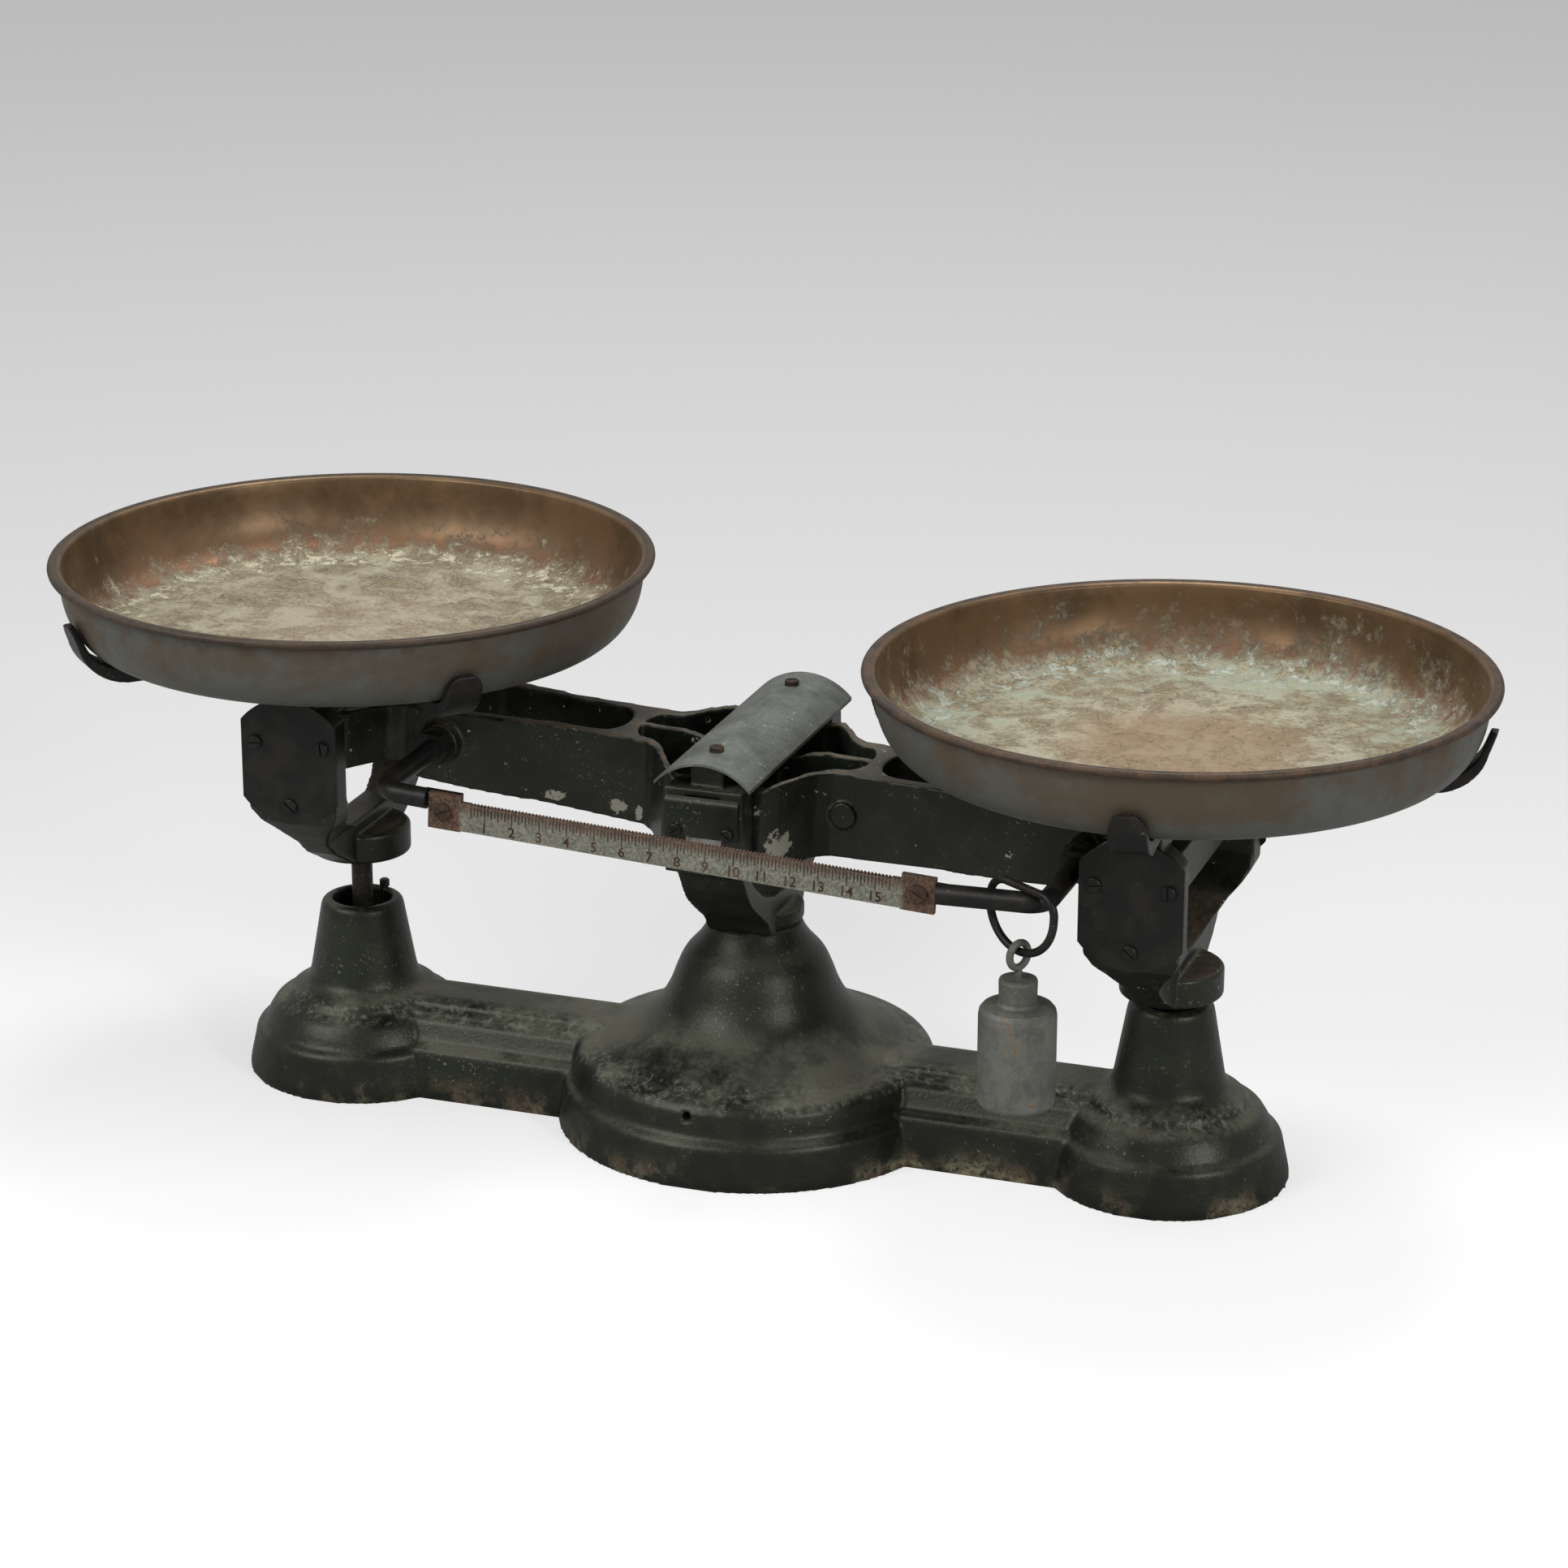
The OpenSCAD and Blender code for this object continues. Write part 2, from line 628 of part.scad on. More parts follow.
module beam_casting() color(iron) on_beam() difference() {
    union() {
        intersection() {
            translate([0, 0, -40])
                linear_extrude(80)
                    polygon(two_sided(concat(
                        [for (i = [0:28]) let (x = 19.5 + (arm_length - 30.5) * i / 28)
                            [x, -beam_half_width(x)]],
                        [[head_end, -head_half_width], [head_end, head_half_width]],
                        [for (i = [28:-1:0]) let (x = 19.5 + (arm_length - 30.5) * i / 28)
                            [x, beam_half_width(x)]]
                    )));
            slab(-80, 80)
                polygon(two_sided(beam_side()));
        }
        translate([-left_run, 0, left_rod_height + 0.3])
            forward_rod(8.5, rail_half_width - 4, left_boss);
        translate([right_run, 0, rod_bend_height])
            forward_rod(8.5, right_boss - 13, right_boss);
        translate([46, 0, -5])
            forward_rod(5.5, rail_half_width - 4, rail_half_width + 2.4);
    }
    for (turn = [0, 180])
        rotate([0, 0, turn])
            translate([0, 0, -50])
                linear_extrude(100) {
                    difference() {
                        polygon(pocket_outline(10, 50, 6, 24));
                        translate([0, -1.75])
                            square([60, 3.5]);
                    }
                    polygon(pocket_outline(56, arm_length - 53, 9, 24));
                    polygon(pocket_outline(arm_length - 46, arm_length - 8, 7, 24));
                }
    slab(-60, 60)
        knife_section(1, seat_clearance);
    for (side = [left, right])
        translate([side * arm_length, 0, 0])
            slab(-70, 70)
                knife_section(-1, seat_clearance);
    translate([-left_run, 0, left_rod_height + 0.3])
        forward_rod(bar_rod_radius + seat_clearance, rail_half_width - 6, left_boss + 1);
    translate([right_run, 0, rod_bend_height])
        forward_rod(bar_rod_radius + seat_clearance, right_boss - 11, right_boss + 1);
}

// Section of a knife whose edge is the origin, with its body above (1) or below (-1)
module knife_section(up, grow) {
    half = knife_height * tan(knife_angle);
    if (grow == 0)
        polygon([[0, 0], [half, up * knife_height], [-half, up * knife_height]]);
    else
        polygon([
            [0, -up * 2 * grow], [half + grow, up * knife_height],
            [half + grow, up * (knife_height + grow)],
            [-half - grow, up * (knife_height + grow)], [-half - grow, up * knife_height]
        ]);
}

module centre_knife() color(steel) on_beam()
    slab(-box_outer + 1.5, box_outer - 1.5)
        knife_section(1, 0);

module end_knife(side) {
    on_beam()
        translate([side * arm_length, 0, 0])
            slab(-knife_half_length, knife_half_length)
                knife_section(-1, 0);
}

module end_knife_left() color(steel) end_knife(left);

module end_knife_right() color(steel) end_knife(right);

// Upper edge of the graduated bar: one notch after the other
function notch_edge() = [
    for (i = [0:bar_divisions * notches_per_division])
        let (step = division_pitch / notches_per_division,
            x = -bar_divisions * division_pitch / 2 + i * step)
        each [[x - step * 0.35, 0], [x, -step * 0.45], [x + step * 0.35, 0]]
];

module graduated_bar() color(rust) on_beam() difference() {
    union() {
        slab(bar_offset - bar_thickness / 2, bar_offset + bar_thickness / 2)
            polygon(concat(
                [[-bar_half_length - 1, -bar_height], [-bar_half_length - 1, 0]],
                notch_edge(),
                [[bar_half_length + 1, 0], [bar_half_length + 1, -bar_height]]
            ));
        for (side = [left, right])
            slab(bar_offset - bar_thickness / 2, bar_offset + bar_thickness / 2)
                translate([side * (bar_half_length + bar_plate_length / 2) - bar_plate_length / 2,
                    -bar_plate_bottom])
                    square([bar_plate_length, bar_plate_bottom + bar_plate_top]);
    }
    for (side = [left, right])
        translate([side * bar_screw_reach, 0, bar_screw_height])
            forward_rod(hole_radius_m3 + seat_clearance, bar_offset - 5, bar_offset + 5);
}

module bar_screws() color(rust) on_beam()
    for (side = [left, right])
        translate([side * bar_screw_reach, -bar_offset - bar_thickness / 2, bar_screw_height])
            forward_screw(3.6, 1.8, hole_radius_m3, 6, 25 * side);

// Flat end of a bent rod, behind the end of the graduated bar
module rod_tongue(side, height) {
    slab(bar_offset - bar_thickness / 2 - 2.9, bar_offset - bar_thickness / 2)
        translate([side * (bar_half_length + 9) - 8, height - 3.7])
            square([16, 6.9]);
}

// Bent rod of a bar arm: run along the bar, bend, and run back to the beam
module bent_rod(side, run, bend, start_height, bend_height, back) {
    slope = rod_slope(run, start_height, bend_height);
    length = (run - rod_start) / cos(slope) - bend;
    translate([side * rod_start, -bar_offset, start_height])
        rotate([0, -side * slope, 0]) {
            rotate([0, side * 90, 0])
                cylinder(r = bar_rod_radius, h = length);
            translate([side * length, bend, 0])
                rotate([0, 0, side > 0 ? -90 : 180])
                    rotate_extrude(angle = 90)
                        translate([bend, 0])
                            circle(bar_rod_radius);
            translate([side * (length + bend), bar_offset, 0])
                forward_rod(bar_rod_radius, back, bar_offset - bend);
        }
}

module bar_arm_left() color(iron) on_beam() difference() {
    union() {
        rod_tongue(left, left_rod_height);
        bent_rod(left, left_run, left_bend, left_rod_height, left_rod_height + 0.3,
            rail_half_width - 5);
    }
    translate([-bar_screw_reach, 0, bar_screw_height])
        forward_rod(hole_radius_m3 + seat_clearance, bar_offset - 8, bar_offset + 5);
}

module bar_arm_right() color(iron) on_beam() difference() {
    union() {
        rod_tongue(right, rod_end_height);
        bent_rod(right, right_run, right_bend, rod_end_height, rod_bend_height,
            right_boss - 10);
    }
    translate([bar_screw_reach, 0, bar_screw_height])
        forward_rod(hole_radius_m3 + seat_clearance, bar_offset - 8, bar_offset + 5);
}

// Ring around the back run of a bent rod, plain or six-sided
module rod_ring(x, height, radius, near, thickness, sides) {
    translate([x, 0, height])
        difference() {
            rotate([90, 0, 0])
                translate([0, 0, near])
                    cylinder(r = radius, h = thickness, $fn = sides);
            forward_rod(bar_rod_radius + seat_clearance, near - 1, near + thickness + 1);
        }
}

module arm_washers() color(rust) on_beam() {
    rod_ring(-left_run, left_rod_height + 0.3, 8, left_boss, washer_thickness, 96);
    rod_ring(right_run, rod_bend_height, 8, right_boss, washer_thickness, 96);
}

module arm_nuts() color(rust) on_beam() {
    rod_ring(-left_run, left_rod_height + 0.3, 7.4, left_boss + washer_thickness,
        nut_thickness, 6);
    rod_ring(right_run, rod_bend_height, 7.4, right_boss + washer_thickness, nut_thickness, 6);
}

// Height on a carrier's leg as a share of the way from the cheek down to the round weight
function leg(share) = -18 - share * (disc_drop - 18);

// Side outline of a carrier's leg, as distance forward and height over the knife edge
function leg_side() = [
    [cheek_face, -18], [cheek_face, leg(0.169)], [cheek_face - 4, leg(0.317)],
    [cheek_face - 12, leg(0.486)], [cheek_face - 20, leg(0.634)],
    [cheek_face - 27, leg(0.761)], [cheek_face - 37, leg(0.875)],
    [disc_radius - 0.3, 1 - disc_drop], [0, 1 - disc_drop], [0, stirrup_top],
    [20, stirrup_top], [32, leg(0.518)], [carrier_opening - 12, leg(0.402)],
    [carrier_opening - 3, leg(0.222)], [carrier_opening, leg(0.085)],
    [carrier_opening, -18]
];

// Half outline of a carrier's legs seen from the front
function leg_front() = [
    [cheek_half_width, -12], [cheek_half_width, leg(0.19)],
    [cheek_half_width - 3, leg(0.317)], [11.5, leg(0.444)], [8, leg(0.571)],
    [7, leg(0.603)], [7, -disc_drop]
];

// Cheek of a carrier: round plate with two flat sides and a bearing pocket
module cheek_outline() {
    intersection() {
        translate([0, -plate_drop])
            circle(cheek_radius);
        translate([-cheek_half_width, -50])
            square([2 * cheek_half_width, 100]);
    }
}

module carrier(side) {
    on_knife(side)
        difference() {
            union() {
                both()
                    slab(carrier_opening, cheek_face)
                        cheek_outline();
                both()
                    intersection() {
                        cross_slab(80)
                            mirror([1, 0])
                                polygon(leg_side());
                        slab(-100, 100)
                            polygon(two_sided(leg_front()));
                    }
                translate([-11, -cheek_face + 1, carrier_bar_bottom])
                    cube([22, 2 * cheek_face - 2, 7.5]);
                translate([0, 0, carrier_bar_bottom])
                    cylinder(r = 15, h = holder_seat - carrier_bar_bottom);
                translate([0, 0, -disc_drop])
                    cylinder(r1 = disc_radius - 1, r2 = disc_radius, h = 1);
                translate([0, 0, 1 - disc_drop])
                    cylinder(r = disc_radius, h = disc_height - 2.2);
                translate([0, 0, disc_top - 1.2])
                    cylinder(r1 = disc_radius, r2 = disc_radius - 1.2, h = 1.2);
            }
            both()
                translate([-9.5, -cheek_face - 1, -knife_height - 4])
                    cube([19, cheek_thickness + 2, knife_height + 17]);
            both()
                for (spot = plate_spots())
                    translate([spot[0], 0, spot[1]])
                        forward_rod(hole_radius_m3 + seat_clearance, cheek_face - 8, cheek_face + 1);
            translate([0, 0, carrier_bar_bottom - 1])
                cylinder(r = 3 + seat_clearance, h = 30);
            translate([0, 0, -disc_drop - 1])
                cylinder(r = rod_radius + seat_clearance, h = 9);
        }
}

// Places of the three screws of a dust plate, relative to the knife edge
function plate_spots() = [
    [-15, 7.5 - plate_drop], [15, 7.5 - plate_drop], [0, -19 - plate_drop]
];

module carrier_left() color(iron) carrier(left);

module carrier_right() color(iron) carrier(right);

// Grooved blocks by which a carrier hangs on its knife
module carrier_bearings(side) {
    on_knife(side)
        both()
            slab(carrier_opening + 0.8, cheek_face - 0.8)
                difference() {
                    translate([-9.5 + seat_clearance, -bearing_depth])
                        square([19 - 2 * seat_clearance, bearing_depth + 13 - seat_clearance]);
                    translate([0, 0.05])
                        polygon([
                            [0, 0], [8 * tan(bearing_angle), -8], [-8 * tan(bearing_angle), -8]
                        ]);
                }
}

module carrier_bearings_left() color(steel) carrier_bearings(left);

module carrier_bearings_right() color(steel) carrier_bearings(right);

module carrier_rod(side) {
    on_knife(side)
        difference() {
            translate([0, 0, -stay_drop - stay_end_radius])
                cylinder(r = rod_radius, h = stay_drop + stay_end_radius - disc_drop + 7.5);
            translate([0, 0, -stay_drop])
                forward_rod(stay_pin_radius + stay_end_clearance, -10, 10);
        }
}

module carrier_rod_left() color(iron) carrier_rod(left);

module carrier_rod_right() color(iron) carrier_rod(right);

// Dust plate with three screw holes
module cheek_plate(side) {
    on_knife(side)
        difference() {
            slab(cheek_face, cheek_face + plate_thickness)
                intersection() {
                    translate([0, -plate_drop])
                        circle(plate_radius);
                    translate([-plate_half_width, -50])
                        square([2 * plate_half_width, 100]);
                }
            for (spot = plate_spots())
                translate([spot[0], 0, spot[1]])
                    forward_rod(hole_radius_m3 + seat_clearance, cheek_face - 1, cheek_face + 5);
        }
}

module cheek_plate_left_front() color(iron) cheek_plate(left);

module cheek_plate_left_rear() color(iron) mirror([0, 1, 0]) cheek_plate(left);

module cheek_plate_right_front() color(iron) cheek_plate(right);

module cheek_plate_right_rear() color(iron) mirror([0, 1, 0]) cheek_plate(right);

module cheek_screws(side) {
    on_knife(side)
        both()
            for (spot = plate_spots())
                translate([spot[0], -cheek_face - plate_thickness, spot[1]])
                    forward_screw(3.1, 1.6, hole_radius_m3, 8, 40 + 3 * spot[0]);
}

module cheek_screws_left() color(steel) cheek_screws(left);

module cheek_screws_right() color(steel) cheek_screws(right);

// Height of a pan holder's seat over the knife edge
function seat_height(side) = side == left ? holder_seat : holder_seat + spacer_height;

// Side outline of one arm of a pan holder: flat, bent up and straight to the tip
function strap_edge(radius) = [
    for (i = [0:9]) let (turn = spider_bend_angle * i / 9)
        [spider_gap_radius + radius * sin(turn), spider_bend - radius * cos(turn)]
];
function strap_end(radius) = [
    spider_gap_radius + radius * sin(spider_bend_angle) + spider_tip * cos(spider_bend_angle),
    spider_bend - radius * cos(spider_bend_angle) + spider_tip * sin(spider_bend_angle)
];
function reversed(list) = [for (i = [len(list) - 1:-1:0]) list[i]];

module strap() {
    tip_height = strap_end(spider_bend)[1] - holder_arm_width / 2;
    intersection() {
        slab(-holder_arm_width / 2, holder_arm_width / 2)
            polygon(concat(
                [[0, -holder_arm_thickness]],
                strap_edge(spider_bend + holder_arm_thickness),
                [strap_end(spider_bend + holder_arm_thickness), strap_end(spider_bend)],
                reversed(strap_edge(spider_bend)),
                [[0, 0]]
            ));
        rotate([90, 0, 90])
            linear_extrude(2 * pan_radius) {
                translate([-holder_arm_width / 2, -20])
                    square([holder_arm_width, 20 + tip_height]);
                translate([0, tip_height])
                    circle(holder_arm_width / 2);
            }
    }
}

module spider(side, turn) {
    on_knife(side)
        translate([0, 0, seat_height(side) + holder_arm_thickness])
            difference() {
                union() {
                    for (arm = [0:90:270])
                        rotate([0, 0, arm + turn])
                            strap();
                    translate([0, 0, -holder_arm_thickness])
                        cylinder(r = 17, h = holder_arm_thickness);
                }
                translate([0, 0, -holder_arm_thickness - 1])
                    cylinder(r = 3 + seat_clearance, h = holder_arm_thickness + 2);
                translate([0, 0, -1.9])
                    cylinder(r1 = 3 + seat_clearance, r2 = 5 + seat_clearance, h = 1.8);
                translate([0, 0, -0.2])
                    cylinder(r = 5 + seat_clearance, h = 1);
            }
}

module spider_left() color(iron) spider(left, 45.5);

module spider_right() color(iron) spider(right, 5.5);

// Countersunk screw that holds a pan holder on its carrier
module spider_screw(side) {
    on_knife(side)
        translate([0, 0, seat_height(side) + holder_arm_thickness]) {
            translate([0, 0, -holder_arm_thickness - 11 - (side == right ? spacer_height : 0)])
                cylinder(r = 3, h = holder_arm_thickness + 9.2 + (side == right ? spacer_height : 0));
            difference() {
                translate([0, 0, -1.9])
                    cylinder(r1 = 3, r2 = 5, h = 1.8);
                translate([-6, -0.5, -0.9])
                    cube([12, 1, 2]);
            }
        }
}

module spider_screw_left() color(steel) spider_screw(left);

module spider_screw_right() color(steel) spider_screw(right);

module spider_spacer_right() color(steel) on_knife(right)
    translate([0, 0, holder_seat])
        difference() {
            cylinder(r = 14, h = spacer_height);
            translate([0, 0, -1])
                cylinder(r = 3 + seat_clearance, h = spacer_height + 2);
        }

// Curved wall of a pan from its upper edge to the flat bottom
function pan_wall(top_radius, bottom, n) = [
    for (i = [0:n]) let (turn = 90 * i / n)
        [pan_flat_radius + (top_radius - pan_flat_radius) * pow(cos(turn), 0.83),
            -2 - (bottom - 2) * pow(sin(turn), 0.83)]
];

module pan(side) {
    on_knife(side)
        translate([0, 0, seat_height(side) + holder_arm_thickness + pan_gap + pan_depth])
            rotate_extrude($fn = 160)
                polygon(concat(
                    [[pan_wall_radius + 1.4, -2.7], [pan_radius - 1.5, -3.3],
                        [pan_radius - 0.4, -2.8], [pan_radius, -1.8], [pan_radius - 0.3, -0.7],
                        [pan_radius - 1.6, 0], [pan_radius - 4.6, -0.3],
                        [pan_wall_radius - pan_gauge + 0.5, -1]],
                    pan_wall(pan_wall_radius - pan_gauge, pan_depth - pan_gauge, 14),
                    [[0, pan_gauge - pan_depth], [0, -pan_depth]],
                    reversed(pan_wall(pan_wall_radius, pan_depth, 14))
                ));
}

module pan_left() color(copper) pan(left);

module pan_right() color(copper) pan(right);

module stay_bar() color(iron)
    translate([0, 0, stay_height])
        rotate([0, rest_tilt, 0])
            difference() {
                union() {
                    translate([-arm_length + 10, -stay_half_thickness, -stay_half_height])
                        cube([2 * arm_length - 20, 2 * stay_half_thickness, 2 * stay_half_height]);
                    forward_rod(stay_hub_radius, 0.3 - rib_inner, rib_inner - 0.3);
                    for (side = [left, right])
                        translate([side * arm_length, 0, 0])
                            intersection() {
                                forward_rod(16, -stay_fork_half_width, stay_fork_half_width);
                                union() {
                                    forward_rod(stay_end_radius, -20, 20);
                                    translate([side > 0 ? -30 : 0, -20, -stay_end_radius])
                                        cube([30, 40, 2 * stay_end_radius]);
                                }
                            }
                }
                for (side = [left, right])
                    translate([side * arm_length - 8, -stay_fork_slot, -20])
                        cube([16, 2 * stay_fork_slot, 40]);
                forward_rod(stay_pin_radius + running_clearance, -20, 20);
                for (side = [left, right])
                    translate([side * arm_length, 0, 0])
                        forward_rod(stay_pin_radius + seat_clearance, -20, 20);
            }

module stay_end_pins() color(steel)
    for (side = [left, right])
        translate([side * end_reach, 0, stay_height - side * end_drop])
            forward_rod(stay_pin_radius, -stay_fork_half_width - 0.5, stay_fork_half_width + 0.5);

// Half of the bail's wire: bottom quarter, straight side, upper corner and half of the top
module bail_half() {
    side_top = bail_rest - bail_corner;
    corner_axis = bail_corner + bail_wire_radius;
    translate([0, 0, bail_centre])
        rotate([90, 0, 0])
            rotate([0, 0, -90])
                rotate_extrude(angle = 90)
                    translate([bail_axis, 0])
                        circle(bail_wire_radius);
    translate([bail_axis, 0, bail_centre])
        cylinder(r = bail_wire_radius, h = side_top - bail_centre);
    translate([bail_inner_half_width - bail_corner, 0, side_top])
        rotate([90, 0, 0])
            rotate_extrude(angle = 90)
                translate([corner_axis, 0])
                    circle(bail_wire_radius);
    translate([0, 0, bail_rest + bail_wire_radius])
        rotate([0, 90, 0])
            cylinder(r = bail_wire_radius, h = bail_inner_half_width - bail_corner);
}

module poise_bail() color(iron) on_beam()
    translate([poise_station, -bar_offset, 0])
        rotate([0, 0, -bail_turn]) {
            bail_half();
            mirror([1, 0, 0])
                bail_half();
        }

// Places children upright at the lowest point of the bail's wire
module on_bail() {
    translate([poise_x, -bar_offset, poise_z])
        children();
}

module poise_eye() color(zinc) on_bail()
    rotate([0, 0, 90 - bail_turn]) {
        translate([0, 0, -eye_drop])
            rotate([90, 0, 0])
                rotate_extrude()
                    translate([eye_radius, 0])
                        circle(eye_wire_radius);
        translate([0, 0, -eye_drop - eye_radius - 5.5])
            cylinder(r = eye_wire_radius, h = 5.5);
    }

module poise_weight() color(zinc) on_bail()
    translate([0, 0, -cap_drop])
        difference() {
            rotate_extrude()
                polygon([
                    [0, 0], [cap_radius - 1.2, 0], [cap_radius - 0.3, -0.4],
                    [cap_radius, -1.4], [cap_radius - 0.2, -cap_height + 1.4],
                    [cap_radius + 0.8, -cap_height + 0.3], [poise_radius - 3.6, -cap_height],
                    [poise_radius - 1.6, -cap_height - 0.7],
                    [poise_radius - 0.4, -cap_height - 2.2], [poise_radius, -cap_height - 4.4],
                    [poise_radius, -cap_height - poise_length + 1.6],
                    [poise_radius - 0.5, -cap_height - poise_length + 0.4],
                    [poise_radius - 1.6, -cap_height - poise_length],
                    [0, -cap_height - poise_length]
                ]);
            translate([0, 0, -4])
                cylinder(r = eye_wire_radius + seat_clearance, h = 6);
        }

base_casting();
post_stop_pins();
stay_pivot_pin();
yoke_casting();
yoke_bolt();
centre_bearing_front();
centre_bearing_rear();
bearing_cap_front();
bearing_cap_rear();
bearing_cap_screws();
centre_cover();
cover_screws();
beam_casting();
centre_knife();
end_knife_left();
end_knife_right();
graduated_bar();
bar_screws();
bar_arm_left();
bar_arm_right();
arm_washers();
arm_nuts();
carrier_left();
carrier_bearings_left();
carrier_rod_left();
cheek_plate_left_front();
cheek_plate_left_rear();
cheek_screws_left();
spider_left();
spider_screw_left();
pan_left();
carrier_right();
carrier_bearings_right();
carrier_rod_right();
cheek_plate_right_front();
cheek_plate_right_rear();
cheek_screws_right();
spider_right();
spider_screw_right();
spider_spacer_right();
pan_right();
stay_bar();
stay_end_pins();
poise_bail();
poise_weight();
poise_eye();
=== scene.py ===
# Old counter scale with two copper pans: finishes, softened castings, ticks and numbers, light and camera.
import math

import bpy
from mathutils import Matrix, Vector


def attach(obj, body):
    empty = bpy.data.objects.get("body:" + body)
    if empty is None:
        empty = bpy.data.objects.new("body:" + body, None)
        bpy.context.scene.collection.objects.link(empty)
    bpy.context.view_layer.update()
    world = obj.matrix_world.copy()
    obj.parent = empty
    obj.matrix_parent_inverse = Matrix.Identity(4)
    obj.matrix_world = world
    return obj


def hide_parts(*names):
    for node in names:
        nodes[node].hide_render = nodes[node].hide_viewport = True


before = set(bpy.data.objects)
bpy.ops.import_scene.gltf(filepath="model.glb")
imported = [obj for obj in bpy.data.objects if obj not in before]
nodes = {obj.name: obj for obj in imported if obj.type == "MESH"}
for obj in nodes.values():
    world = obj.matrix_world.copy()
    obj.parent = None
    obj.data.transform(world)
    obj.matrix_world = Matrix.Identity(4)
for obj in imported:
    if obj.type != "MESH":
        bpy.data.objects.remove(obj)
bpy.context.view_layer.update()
mm = 0.001

# the beam's own frame: middle knife edge and lean to the right
beamFrame = {"pivot": (0, 0, 154 * mm), "lean": math.radians(2.9)}

# from the scale's middle to the middle of a pan, in millimetres
panReach = 179.27


# small helpers: selection, edit mode, modifiers

def clearSelection():
    active = bpy.context.view_layer.objects.active
    if active and active.mode != "OBJECT":
        bpy.ops.object.mode_set(mode="OBJECT")
    bpy.ops.object.select_all(action="DESELECT")


def pick(piece):
    clearSelection()
    piece.select_set(True)
    bpy.context.view_layer.objects.active = piece


def openMesh(piece):
    pick(piece)
    bpy.ops.object.mode_set(mode="EDIT")
    bpy.ops.mesh.select_all(action="SELECT")


def closeMesh():
    bpy.ops.object.mode_set(mode="OBJECT")


def settle(piece):
    pick(piece)
    bpy.ops.object.transform_apply(location=True, rotation=True, scale=True)


def nameIt(name):
    piece = bpy.context.view_layer.objects.active
    piece.name = name
    piece.data.name = name
    return piece


def modify(piece, kind, **settings):
    pick(piece)
    modifier = piece.modifiers.new(kind.title(), kind)
    for key, value in settings.items():
        setattr(modifier, key, value)
    bpy.ops.object.modifier_apply(modifier=modifier.name)


def smoothShade(piece, angle):
    pick(piece)
    bpy.ops.object.shade_smooth_by_angle(angle=math.radians(angle))


def joinPieces(target, others):
    clearSelection()
    for piece in others:
        piece.select_set(True)
    target.select_set(True)
    bpy.context.view_layer.objects.active = target
    bpy.ops.object.join()
    return target


def copyOf(nodeName, name):
    # a copy of a CAD node with its loose triangles welded
    piece = bpy.data.objects.new(name, nodes[nodeName].data.copy())
    bpy.context.scene.collection.objects.link(piece)
    openMesh(piece)
    bpy.ops.mesh.remove_doubles(threshold=0.005 * mm)
    closeMesh()
    return piece


def setMaterial(piece, finish):
    piece.data.materials.clear()
    piece.data.materials.append(finish.material)


def takeBelow(piece, height):
    # edit mode with only the vertices below a height selected
    openMesh(piece)
    bpy.ops.mesh.select_mode(type="VERT")
    bpy.ops.mesh.select_all(action="DESELECT")
    closeMesh()
    for vertex in piece.data.vertices:
        vertex.select = vertex.co.z < height
    bpy.ops.object.mode_set(mode="EDIT")


def drawLine(name, points):
    # one vertex drawn out from point to point, left selected in edit mode
    clearSelection()
    bpy.ops.mesh.primitive_plane_add(size=mm)
    piece = nameIt(name)
    openMesh(piece)
    bpy.ops.mesh.merge(type="CENTER")
    bpy.ops.transform.translate(value=points[0])
    for start, end in zip(points, points[1:]):
        bpy.ops.mesh.extrude_vertices_move(TRANSFORM_OT_translate={"value": end - start})
    bpy.ops.mesh.select_all(action="SELECT")
    return piece


# shader maths

class Tone:
    # one value socket that plain arithmetic works on
    def __init__(self, finish, socket):
        self.finish = finish
        self.socket = socket

    def __add__(self, other):
        return self.finish.sum("ADD", self, other)

    def __sub__(self, other):
        return self.finish.sum("SUBTRACT", self, other)

    def __rsub__(self, other):
        return self.finish.sum("SUBTRACT", other, self)

    def __mul__(self, other):
        return self.finish.sum("MULTIPLY", self, other)

    def __truediv__(self, other):
        return self.finish.sum("DIVIDE", self, other)

    def __rtruediv__(self, other):
        return self.finish.sum("DIVIDE", other, self)

    def __pow__(self, other):
        return self.finish.sum("POWER", self, other)

    __radd__ = __add__
    __rmul__ = __mul__


